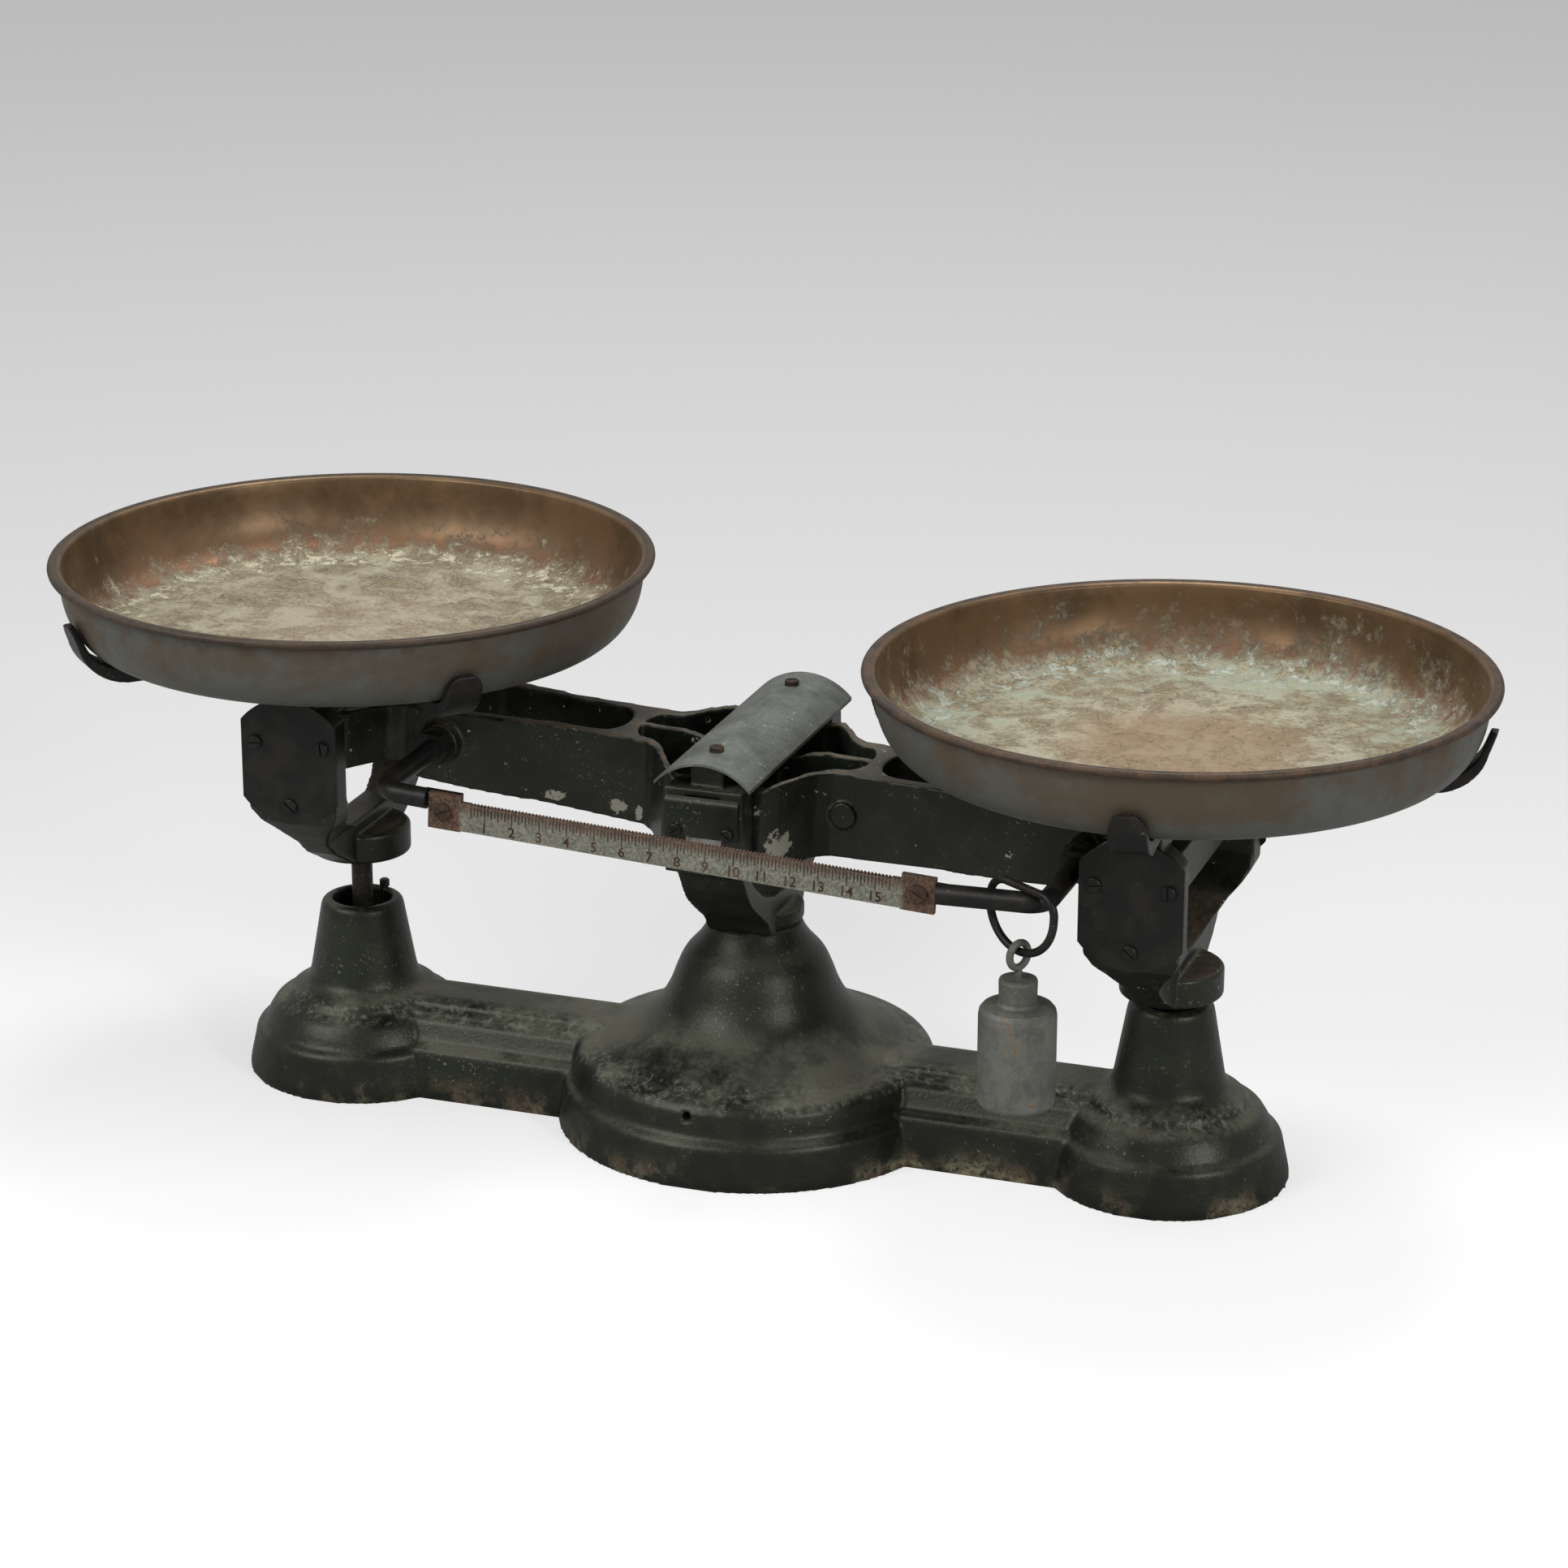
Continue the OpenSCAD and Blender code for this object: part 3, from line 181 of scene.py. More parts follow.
class Finish:
    # one material: the shader, its fixed values and the nodes that feed it
    def __init__(self, name, **fixed):
        self.material = bpy.data.materials.new(name)
        self.material.use_nodes = True
        self.tree = self.material.node_tree
        self.shader = self.tree.nodes["Principled BSDF"]
        for key, value in fixed.items():
            self.shader.inputs[key.replace("_", " ")].default_value = value
        self.place = self.node("TexCoord", output="Object")
        self.facing = self.node("TexCoord", output="Normal")

    def node(self, kind, settings=None, inputs=None, output=0):
        made = self.tree.nodes.new("ShaderNode" + kind)
        for key, value in (settings or {}).items():
            setattr(made, key, value)
        for key, value in (inputs or {}).items():
            self.feed(made.inputs[key], value)
        return Tone(self, made.outputs[output])

    def feed(self, target, value):
        if isinstance(value, Tone):
            self.tree.links.new(value.socket, target)
        elif target.type == "RGBA":
            target.default_value = (*value, 1)
        else:
            target.default_value = value

    def sum(self, operation, first, second):
        return self.node("Math", {"operation": operation}, {0: first, 1: second})

    def step(self, value, low, high):
        return self.node("MapRange", {"interpolation_type": "SMOOTHSTEP"},
                         {"Value": value, "From Min": low, "From Max": high})

    def least(self, first, second):
        return self.sum("MINIMUM", first, second)

    def most(self, first, second):
        return self.sum("MAXIMUM", first, second)

    def part(self, vector, axis):
        return self.node("SeparateXYZ", None, {0: vector}, "XYZ".index(axis))

    def moved(self, shift, stretch=(1, 1, 1)):
        return self.node("Mapping", None, {"Vector": self.place, "Location": shift, "Scale": stretch})

    def reach(self, shift):
        # distance from an upright axis
        across = self.node("VectorMath", {"operation": "MULTIPLY"}, {0: self.moved(shift), 1: (1, 1, 0)})
        return self.node("VectorMath", {"operation": "LENGTH"}, {0: across}, 1)

    def noise(self, size, detail, rough, shift, stretch=(1, 1, 1), bend=0):
        # size is the width of a typical patch in millimetres
        vector = self.moved((shift, shift * 0.7, shift * 1.3), stretch)
        return self.node("TexNoise", None, {"Vector": vector, "Scale": 1000 / size,
                                            "Detail": detail, "Roughness": rough,
                                            "Distortion": bend}, "Fac")

    def cells(self, size, shift):
        vector = self.moved((shift, shift, shift))
        return self.node("TexVoronoi", None, {"Vector": vector, "Scale": 1000 / size}, "Distance")

    def blend(self, mask, under, over):
        return self.node("Mix", {"data_type": "RGBA"}, {0: mask, 6: under, 7: over}, 2)

    def pointed(self, low, high):
        # edges where low is the smaller number, hollows where it is the larger one
        return self.step(self.node("NewGeometry", output="Pointiness"), low, high)

    def bump(self, height, distance):
        # distance in millimetres
        normal = self.node("Bump", None, {"Height": height, "Distance": distance * mm,
                                          "Strength": 1.0}, "Normal")
        self.feed(self.shader.inputs["Normal"], normal)

    def give(self, **sockets):
        for key, value in sockets.items():
            self.feed(self.shader.inputs[key.replace("_", " ")], value)


# finishes

def paintedIron(name, look):
    # black paint over cast iron, rubbed pale on edges and beads, with dust on what faces up
    # on the beam the pale edges are also a painted highlight along the rails
    f = Finish(name, Specular_IOR_Level=look["shine"], Specular_Tint=(1.0, 1.0, 0.80, 1.0))
    wide = f.noise(38, 3, 0.55, look["seed"])
    mid = f.noise(9, 4, 0.65, look["seed"] + 4)
    fine = f.noise(2.6, 6, 0.74, look["seed"] + 1)
    grit = f.noise(1.3, 2, 0.5, look["seed"] + 2)
    up = f.part(f.facing, "Z")
    height = f.part(f.place, "Z")
    colour = f.blend(f.step(0.6 * wide + 0.4 * mid, 0.40, 0.62), look["paint"], look["paintWorn"])
    scuff = f.step(fine + 0.5 * mid, look["scuffStart"], look["scuffStart"] + 0.12) * look["scuff"]
    colour = f.blend(scuff, colour, look["haze"])
    speck = f.step(grit, 0.655, 0.70) * f.step(wide + 0.5 * mid, 0.70, 0.90) * look["speck"]
    colour = f.blend(speck, colour, look["fleck"])
    worn = f.most(scuff, speck)
    dusty = f.step(up, 0.50, 0.97) * f.step(wide + 0.4 * fine, 0.54, 0.86) * look["dust"]
    if look["edge"]:
        edge = f.pointed(look["edgeStart"], look["edgeStart"] + 0.07)
        # pale rubbed edges; on the beam they are partly a painted highlight
        rubbedAndSheen = edge * f.step(fine + 0.4 * mid, 0.62, 0.84) * look["edge"]
        colour = f.blend(rubbedAndSheen, colour, look["bareAndSheen"])
        worn = f.most(worn, rubbedAndSheen)
        hollow = f.pointed(0.487, 0.44) * f.step(fine, 0.35, 0.60) * look["hollowDust"]
        dusty = f.most(dusty, hollow)
    if look["bead"]:
        # the round moulding of the foot, about 34 mm up
        bead = f.step(height, 0.0290, 0.0325) * f.step(height, 0.0385, 0.0360)
        bead = bead * f.step(fine + 0.5 * mid + 0.2 * wide, 0.82, 1.04) * look["bead"]
        colour = f.blend(bead, colour, look["bareAndSheen"])
        worn = f.most(worn, bead)
    colour = f.blend(dusty, colour, look["dustTone"])
    chips = f.step(f.noise(7, 4, 0.7, look["seed"] + 3), look["chipStart"], look["chipStart"] + 0.012)
    colour = f.blend(chips * look["chip"], colour, look["chipTone"])
    # places where the paint has come off: middle and half size, in millimetres
    for x, z, across, high in look["bared"]:
        beside = (f.part(f.place, "X") - x * mm) / (across * mm)
        above = (height - z * mm) / (high * mm)
        bared = f.step(beside * beside + above * above + 5 * (fine - 0.5) + 3 * (mid - 0.5), 1.0, 0.7)
        colour = f.blend(bared * 0.85, colour, look["chipTone"])
        worn = f.most(worn, bared)
    foot = (f.step(height + 0.010 * (fine - 0.5), 0.014, 0.001) * f.step(wide + 0.5 * mid, 0.72, 0.88)
            * f.step(fine, 0.36, 0.56) * look["foot"])
    colour = f.blend(foot, colour, f.blend(f.step(mid, 0.45, 0.6), look["footTone"], look["footRust"]))
    rust = f.step(up, 0.7, 0.97) * f.step(mid + 0.5 * fine, 0.66, 0.86) * look["rust"]
    colour = f.blend(rust, colour, look["rustTone"])
    worn = f.most(f.most(worn, rust), f.most(dusty, foot))
    f.give(Base_Color=colour, Roughness=look["gloss"] + 0.14 * fine + 0.12 * mid + 0.34 * worn)
    f.bump(0.40 * wide + 0.20 * mid + 0.25 * fine + 0.15 * grit - 0.2 * chips, look["relief"])
    return f


baseLook = {"seed": 1.0, "shine": 0.42, "paint": (0.0070, 0.0085, 0.0065),
            "paintWorn": (0.0165, 0.0200, 0.0150), "haze": (0.055, 0.062, 0.048),
            "bareAndSheen": (0.190, 0.195, 0.155), "fleck": (0.36, 0.355, 0.30), "scuff": 0.65,
            "bared": (), "scuffStart": 0.88, "speck": 0.42, "edge": 0.55, "edgeStart": 0.520,
            "bead": 0.75, "chip": 0.0, "chipStart": 0.72, "chipTone": (0.45, 0.43, 0.355), "dust": 0.75,
            "hollowDust": 0.12, "dustTone": (0.150, 0.148, 0.110), "foot": 0.85,
            "footTone": (0.25, 0.225, 0.140), "footRust": (0.120, 0.075, 0.048), "rust": 0.0,
            "rustTone": (0.175, 0.100, 0.058), "gloss": 0.22, "relief": 0.60}
movingLook = dict(baseLook, seed=4.0, edge=0.7, chip=0.9, chipStart=0.675, dust=0.6, hollowDust=0.8,
                  dustTone=(0.128, 0.110, 0.080), foot=0.0, bead=0.0, rust=0.3,
                  # the pale edge colour: rubbed paint, on the beam's rails partly a painted highlight
                  bareAndSheen=(0.165, 0.168, 0.135),
                  bared=((24.5, 137.5, 4, 6), (-53, 139, 4, 3), (-81, 140.5, 5, 2),
                         (-43.5, 137, 2, 3)))
baseIron = paintedIron("baseIron", baseLook)
movingIron = paintedIron("movingIron", movingLook)
smallIron = paintedIron("smallIron", dict(baseLook, seed=6.0, edge=0.0, foot=0.0, bead=0.0, dust=0.4))


def darkSteel(name, look):
    # blackened steel with brown rust and thin scratches
    f = Finish(name, Specular_IOR_Level=0.35)
    wide = f.noise(14, 4, 0.6, look["seed"])
    fine = f.noise(1.8, 5, 0.7, look["seed"] + 1)
    chip = f.noise(1.7, 4, 0.65, look["seed"] + 2, bend=0.5)
    colour = f.blend(f.step(wide, 0.4, 0.62), look["black"], look["brown"])
    rust = f.step(0.6 * wide + 0.5 * fine, look["rustStart"], look["rustStart"] + 0.14)
    colour = f.blend(rust * look["rust"], colour, look["rustTone"])
    marks = f.step(chip, 0.645, 0.675) * f.step(wide, 0.48, 0.6)
    colour = f.blend(marks * look["scratch"], colour, look["bright"])
    f.give(Base_Color=colour, Roughness=look["rough"] + 0.25 * rust + 0.1 * fine,
           Metallic=look["metal"] * (1 - rust))
    f.bump(0.5 * fine + 0.5 * wide + 0.3 * rust, look["relief"])
    return f


darkLook = {"seed": 7.0, "black": (0.0105, 0.0105, 0.0100), "brown": (0.024, 0.020, 0.016),
            "rust": 0.5, "rustStart": 0.62, "rustTone": (0.085, 0.045, 0.026),
            "scratch": 0.7, "bright": (0.30, 0.30, 0.27), "metal": 0.25, "rough": 0.36, "relief": 0.2}
rustyLook = dict(darkLook, seed=9.0, black=(0.026, 0.020, 0.016), brown=(0.060, 0.038, 0.025),
                 rust=0.9, rustStart=0.55, rustTone=(0.125, 0.064, 0.034), scratch=0.3, rough=0.58,
                 relief=0.35)
plateLook = dict(darkLook, seed=11.0, rust=0.25, rustStart=0.68, scratch=0.15, rough=0.40,
                 black=(0.0120, 0.0122, 0.0112), brown=(0.023, 0.021, 0.017))
blackSteel = darkSteel("blackSteel", darkLook)
plateSteel = darkSteel("plateSteel", plateLook)
rustySteel = darkSteel("rustySteel", rustyLook)


def groundSteel(name, look):
    # bright steel ground along one way, with brown stains
    f = Finish(name, Metallic=0.9)
    grain = f.noise(0.7, 3, 0.6, 2, stretch=(1, 0.05, 1))
    patch = f.noise(11, 4, 0.6, 3)
    stain = f.step(patch, 0.5, 0.68)
    colour = f.blend(stain * 0.7, f.blend(grain, look["dark"], look["light"]), look["stain"])
    f.give(Base_Color=colour, Roughness=0.28 + 0.2 * grain + 0.3 * stain)
    f.bump(grain, 0.04)
    return f


bareSteel = groundSteel("bareSteel", {"dark": (0.30, 0.29, 0.28), "light": (0.50, 0.49, 0.47),
                                      "stain": (0.16, 0.11, 0.08)})


def oldZinc(name, look):
    # dull grey weight with small orange stains
    f = Finish(name)
    wide = f.noise(14, 4, 0.6, 5)
    mid = f.noise(4.5, 5, 0.68, 7, bend=0.5)
    fine = f.noise(1.2, 5, 0.7, 6)
    colour = f.blend(f.step(0.6 * wide + 0.4 * mid, 0.38, 0.62), look["dark"], look["light"])
    colour = f.blend(f.step(fine, 0.52, 0.72) * 0.45, colour, look["pale"])
    stain = f.step(mid + 0.55 * wide + 0.15 * fine, 0.94, 1.06)
    rusty = f.blend(f.step(fine, 0.4, 0.6), look["rustDark"], look["rustTone"])
    colour = f.blend(stain * look["stain"], colour, rusty)
    pit = f.step(f.cells(2.6, 1), 0.16, 0.05) * f.step(wide, 0.5, 0.62)
    colour = f.blend(pit * 0.55, colour, look["pitTone"])
    f.give(Base_Color=colour, Roughness=0.48 + 0.2 * fine + 0.15 * stain, Metallic=0.3 * (1 - stain))
    f.bump(0.5 * fine + 0.4 * mid - 0.4 * pit, 0.28)
    return f


zinc = oldZinc("zinc", {"dark": (0.108, 0.112, 0.094), "light": (0.178, 0.184, 0.160),
                        "pale": (0.265, 0.265, 0.228), "stain": 0.8, "rustTone": (0.250, 0.150, 0.062),
                        "rustDark": (0.115, 0.078, 0.042), "pitTone": (0.050, 0.047, 0.040)})


def dullSheet(name, look):
    # grey sheet with dark smudges, fine scratches and pale flecks
    f = Finish(name)
    wide = f.noise(20, 5, 0.62, 8)
    mid = f.noise(5, 5, 0.68, 11, bend=0.4)
    fine = f.noise(1.1, 4, 0.65, 9)
    along = f.noise(1.8, 3, 0.6, 10, stretch=(1, 0.05, 1))
    colour = f.blend(f.step(0.6 * wide + 0.4 * mid, 0.38, 0.60), look["dark"], look["light"])
    colour = f.blend(f.step(fine, 0.54, 0.70) * 0.4, colour, look["grain"])
    colour = f.blend(f.step(along, 0.62, 0.68) * 0.2, colour, look["scratch"])
    smudge = f.step(mid + 0.5 * wide, 0.88, 1.0)
    colour = f.blend(smudge * 0.6, colour, look["smudge"])
    fleck = f.step(f.noise(1.9, 3, 0.6, 12), 0.655, 0.68) * f.step(wide, 0.46, 0.58)
    colour = f.blend(fleck * 0.85, colour, look["fleck"])
    f.give(Base_Color=colour, Roughness=0.42 + 0.15 * wide + 0.14 * fine + 0.1 * smudge,
           Metallic=0.4 - 0.3 * smudge)
    f.bump(0.4 * wide + 0.2 * mid + 0.2 * fine + 0.1 * along, 0.25)
    return f


coverSheet = dullSheet("coverSheet", {"dark": (0.105, 0.112, 0.100), "light": (0.180, 0.190, 0.170),
                                      "grain": (0.075, 0.078, 0.070), "scratch": (0.34, 0.34, 0.31),
                                      "smudge": (0.055, 0.058, 0.050), "fleck": (0.52, 0.52, 0.47)})


def scrapedBar(name, look):
    # whitish scraped face with rust eating in from the upper edge
    f = Finish(name)
    wide = f.noise(18, 4, 0.62, 12)
    mid = f.noise(5, 5, 0.68, 16, bend=0.5)
    fine = f.noise(1.3, 5, 0.7, 13)
    x = f.part(f.place, "X")
    z = f.part(f.place, "Z")
    # height over the bar's own upper edge
    rise = (z - beamFrame["pivot"][2]) + math.tan(beamFrame["lean"]) * x
    front = f.step(f.part(f.facing, "Y"), -0.6, -0.9)
    near = f.step(f.node("Math", {"operation": "ABSOLUTE"}, {0: x}), look["end"], look["end"] - 0.002)
    eaten = f.step(rise / 0.012 + 0.55 * mid + 0.45 * wide + 0.3 * fine, 0.20, 0.58)
    patches = f.step(mid + 0.5 * wide + 0.2 * fine, 0.95, 1.08)
    face = f.blend(f.step(fine + 0.4 * mid, 0.55, 0.90), look["grey"], look["white"])
    rustTone = f.blend(f.step(fine + 0.3 * mid, 0.50, 0.78), look["rustDark"], look["rustTone"])
    clean = front * near * (1 - f.most(eaten * 0.8, patches * 0.75))
    f.give(Base_Color=f.blend(clean, rustTone, face), Roughness=0.72 - 0.2 * clean,
           Metallic=0.25 * clean)
    f.bump(0.6 * fine + 0.4 * mid - 0.3 * clean, 0.16)
    return f


barFace = scrapedBar("barFace", {"end": 0.0945, "grey": (0.145, 0.143, 0.112),
                                 "white": (0.330, 0.325, 0.262), "rustDark": (0.046, 0.028, 0.019),
                                 "rustTone": (0.150, 0.082, 0.048)})


def inkRust(name, look):
    # what is left of the punched marks: dark, with brown rust
    f = Finish(name, Roughness=0.85)
    fine = f.noise(1.2, 4, 0.65, 14)
    wide = f.noise(12, 3, 0.6, 15)
    colour = f.blend(f.step(wide + 0.3 * fine, 0.5, 0.8), look["dark"], look["brown"])
    f.give(Base_Color=colour)
    f.bump(fine, 0.05)
    return f


tickRust = inkRust("tickRust", {"dark": (0.030, 0.019, 0.013), "brown": (0.110, 0.058, 0.033)})


def panInside(name, look):
    # copper wall with a reddish foot; grey, ochre and green crust on the floor, flaking at its edge
    f = Finish(name)
    reach = f.reach(look["centre"])
    wide = f.noise(46, 4, 0.62, look["seed"])
    marble = f.noise(19, 8, 0.72, look["seed"] + 2, bend=0.4)
    mid = f.noise(8, 6, 0.72, look["seed"] + 1, bend=0.4)
    fine = f.noise(1.8, 6, 0.75, look["seed"] + 3)
    wobble = reach + 0.030 * (marble - 0.5) + 0.026 * (mid - 0.5) + 0.018 * (fine - 0.5)
    floor = f.step(wobble, look["crustEnd"] + 0.006, look["crustEnd"] - 0.004)
    wall = f.blend(f.step(0.6 * wide + 0.4 * marble, 0.38, 0.62), look["wallDark"], look["wallLight"])
    red = f.step(reach, 0.1195, 0.112) * f.step(mid + 0.5 * wide, 0.62, 0.86)
    wall = f.blend(red * look["redness"], wall, look["wallRed"])
    wall = f.blend(f.step(fine, 0.56, 0.72) * 0.35, wall, look["wallSpeck"])
    dirt = f.step(wobble, look["crustEnd"] + 0.011, look["crustEnd"]) * f.step(fine, 0.35, 0.6)
    wall = f.blend(dirt * 0.6, wall, look["brown"])
    crust = f.blend(f.step(marble + 0.3 * fine, 0.52, 0.78), look["ochre"], look["grey"])
    gaps = f.step(mid + 0.25 * fine, 0.60, 0.74) * f.step(marble, 0.60, 0.44)
    crust = f.blend(gaps * 0.95, crust, look["brown"])
    crust = f.blend(f.step(fine + 0.5 * mid, 0.80, 0.95) * 0.7, crust, look["pale"])
    crust = f.blend(f.step(fine, 0.47, 0.36) * 0.45, crust, look["brown"])
    centre = f.step(reach + 0.05 * (marble - 0.5) + 0.02 * (mid - 0.5), 0.062, 0.034)
    crust = f.blend(centre * look["centreWear"], crust, look["centreTone"])
    ring = f.step(marble + 0.6 * mid, look["greenStart"], look["greenStart"] + 0.22)
    ring = ring * f.step(reach, 0.058, 0.090)
    crust = f.blend(ring * look["green"], crust, look["greenTone"])
    edge = f.step(wobble, look["crustEnd"] - 0.026, look["crustEnd"] - 0.012)
    flakes = f.step(f.noise(7, 6, 0.74, look["seed"] + 5, bend=0.4) + 0.10 * edge, 0.60, 0.66) * edge
    crust = f.blend(flakes * look["flakes"], crust, look["flakeTone"])
    seam = f.node("Math", {"operation": "ABSOLUTE"}, {0: mid - 0.47})
    seam = f.step(seam, 0.018, 0.004) * f.step(marble, 0.60, 0.45)
    crust = f.blend(seam * 0.55, crust, look["brown"])
    f.give(Base_Color=f.blend(floor, wall, crust),
           Metallic=look["metal"] * (1 - floor) * (1 - 0.6 * dirt),
           Roughness=0.33 + 0.14 * fine + 0.10 * mid + 0.30 * floor)
    rough = 0.45 * mid + 0.4 * fine + 0.35 * flakes - 0.2 * seam
    f.bump(0.08 * wide + 0.06 * mid + floor * rough, 0.55)
    return f


leftPanLook = {"seed": 21.0, "centre": (panReach * mm, 0, 0), "crustEnd": 0.110,
               "wallDark": (0.120, 0.076, 0.040), "wallLight": (0.230, 0.145, 0.078),
               "wallRed": (0.34, 0.150, 0.080), "redness": 0.5, "wallSpeck": (0.105, 0.085, 0.055),
               "ochre": (0.275, 0.225, 0.135), "grey": (0.385, 0.345, 0.250),
               "brown": (0.120, 0.088, 0.055), "pale": (0.56, 0.53, 0.42), "centreWear": 0.35,
               "centreTone": (0.400, 0.320, 0.235), "green": 0.30, "greenStart": 0.80,
               "greenTone": (0.300, 0.300, 0.175), "flakes": 0.85, "flakeTone": (0.62, 0.585, 0.42),
               "metal": 0.7}
rightPanLook = dict(leftPanLook, seed=31.0, centre=(-panReach * mm, 0, 0), crustEnd=0.1128,
                    centreWear=0.75, centreTone=(0.310, 0.212, 0.122), green=0.65, greenStart=0.74,
                    greenTone=(0.330, 0.405, 0.300), flakes=0.6, flakeTone=(0.56, 0.62, 0.53),
                    redness=0.85, ochre=(0.310, 0.255, 0.150), grey=(0.430, 0.395, 0.285),
                    wallDark=(0.094, 0.056, 0.027), wallLight=(0.200, 0.122, 0.062))
leftPanInside = panInside("leftPanInside", leftPanLook)
rightPanInside = panInside("rightPanInside", rightPanLook)


def panOutside(name, look):
    # bronze gone dull: bluish grey below, partly painted sheen, brown towards the edge, copper on the bead
    f = Finish(name)
    reach = f.reach(look["centre"])
    wide = f.noise(50, 4, 0.6, look["seed"])
    mid = f.noise(11, 5, 0.68, look["seed"] + 1)
    fine = f.noise(1.4, 6, 0.75, look["seed"] + 2)
    high = f.step(reach + 0.006 * (wide - 0.5) + 0.004 * (mid - 0.5), 0.1165, 0.1215)
    # the grey is the dull bronze and partly a painted sheen on the underside
    colour = f.blend(f.step(0.6 * wide + 0.4 * mid, 0.38, 0.62), look["grey"], look["olive"])
    colour = f.blend(high * f.step(wide + 0.4 * mid, 0.50, 0.85) * 0.8, colour, look["brown"])
    rim = f.step(reach + 0.002 * (mid - 0.5), 0.1222, 0.1232)
    rimTone = f.blend(f.step(mid + 0.4 * fine, 0.55, 0.85), look["rimDark"], look["rim"])
    colour = f.blend(rim * 0.9, colour, rimTone)
    colour = f.blend(f.step(fine, 0.56, 0.70) * 0.45, colour, look["speck"])
    f.give(Base_Color=colour, Metallic=look["metal"] - 0.25 * f.step(fine, 0.5, 0.7),
           Roughness=0.40 + 0.16 * mid + 0.14 * fine)
    f.bump(0.30 * wide + 0.12 * mid + 0.08 * fine, 0.35)
    return f


leftOutsideLook = {"seed": 41.0, "centre": (panReach * mm, 0, 0), "olive": (0.128, 0.118, 0.090),
                   # grey: the dull bronze, partly a painted sheen
                   "grey": (0.145, 0.150, 0.136), "brown": (0.125, 0.090, 0.056),
                   "rim": (0.090, 0.060, 0.038), "rimDark": (0.045, 0.034, 0.025),
                   "speck": (0.052, 0.048, 0.040), "metal": 0.55}
leftPanOutside = panOutside("leftPanOutside", leftOutsideLook)
rightPanOutside = panOutside("rightPanOutside", dict(leftOutsideLook, seed=45.0,
                             centre=(-panReach * mm, 0, 0), rim=(0.120, 0.068, 0.040)))
print("finishes made")


# castings and forgings: the CAD shape with cast radii and rubbed edges, on the beam partly painted
# highlight

castings = {
    "base_casting": {"name": "baseCasting", "voxel": 1.1, "passes": 2, "keep": 0.4, "body": "base",
                     "finish": baseIron, "slot": "base_iron"},
    "yoke_casting": {"name": "yokeCasting", "voxel": 0.7, "passes": 2, "keep": 0.5, "body": "base",
                     "finish": baseIron, "slot": "base_iron"},
    "beam_casting": {"name": "beamCasting", "voxel": 0.8, "passes": 2, "keep": 0.4, "body": "beam",
                     "finish": movingIron, "slot": "moving_iron"},
    "carrier_left": {"name": "carrierLeft", "voxel": 0.7, "passes": 2, "keep": 0.5,
                     "body": "carrier_left", "finish": movingIron, "slot": "moving_iron"},
    "carrier_right": {"name": "carrierRight", "voxel": 0.7, "passes": 2, "keep": 0.5,
                      "body": "carrier_right", "finish": movingIron, "slot": "moving_iron"},
    "spider_left": {"name": "spiderLeft", "voxel": 0.6, "passes": 2, "keep": 0.5,
                    "body": "carrier_left", "finish": blackSteel, "slot": "dark_steel",
                    "centre": (-panReach, 195.8), "turn": 45.5},
    "spider_right": {"name": "spiderRight", "voxel": 0.6, "passes": 2, "keep": 0.5,
                     "body": "carrier_right", "finish": blackSteel, "slot": "dark_steel",
                     "centre": (panReach, 182.65), "turn": 5.5},
}

# arms of a pan holder: flat to the rib, deep where they bend up and thin at the round tip;
# the hub is kept to 14 mm from its middle, and the cutter rounds the tips
holderArm = {"start": 10.0, "keep": 14.0, "rib": 72.0, "ribRun": 8.0, "reach": 103.5, "bend": 18.0,
             "angle": 70.0, "tip": 8.0, "frontTip": 4.2, "width": 15.2, "flat": 3.5, "deep": 6.8,
             "thin": 3.0, "steps": 9, "cutterLength": 160.0, "cutterDrop": 60.0}


def armEdge(first, last, tip):
    # the bend at one depth where it starts and another where it ends, and the straight tip
    edge = []
    for i in range(holderArm["steps"] + 1):
        turn = math.radians(holderArm["angle"] * i / holderArm["steps"])
        radius = holderArm["bend"] + first + (last - first) * i / holderArm["steps"]
        edge.append((holderArm["reach"] + radius * math.sin(turn),
                     holderArm["bend"] - radius * math.cos(turn)))
    edge.append((edge[-1][0] + tip * math.cos(turn), edge[-1][1] + tip * math.sin(turn)))
    return edge


def makeArm(tip):
    inside = armEdge(0, 0, tip)
    outline = [(holderArm["start"], 0), (holderArm["start"], -holderArm["flat"]),
               (holderArm["rib"], -holderArm["flat"]),
               (holderArm["rib"] + holderArm["ribRun"], -holderArm["deep"])]
    outline += armEdge(holderArm["deep"], holderArm["thin"], tip) + inside[::-1]
    half = holderArm["width"] / 2
    arm = drawLine("holderArm", [Vector((x * mm, -half * mm, z * mm)) for x, z in outline])
    bpy.ops.mesh.edge_face_add()
    bpy.ops.mesh.extrude_region_move(TRANSFORM_OT_translate={"value": (0, 2 * half * mm, 0)})
    bpy.ops.mesh.select_all(action="SELECT")
    bpy.ops.mesh.normals_make_consistent(inside=False)
    closeMesh()
    # round the tip as seen from outside, with a cutter a hair wider than the arm
    top = inside[-1][1] - half
    clearSelection()
    bpy.ops.mesh.primitive_cylinder_add(
        vertices=40, radius=half * mm * 1.0005, depth=holderArm["cutterLength"] * mm,
        location=(holderArm["cutterLength"] / 2 * mm, 0, top * mm), rotation=(0, math.pi / 2, 0))
    cutter = nameIt("tipCutter")
    settle(cutter)
    takeBelow(cutter, (top - 0.1) * mm)
    bpy.ops.transform.translate(value=(0, 0, -holderArm["cutterDrop"] * mm))
    closeMesh()
    modify(arm, "BOOLEAN", operation="INTERSECT", object=cutter, solver="EXACT")
    bpy.data.objects.remove(cutter)
    return arm


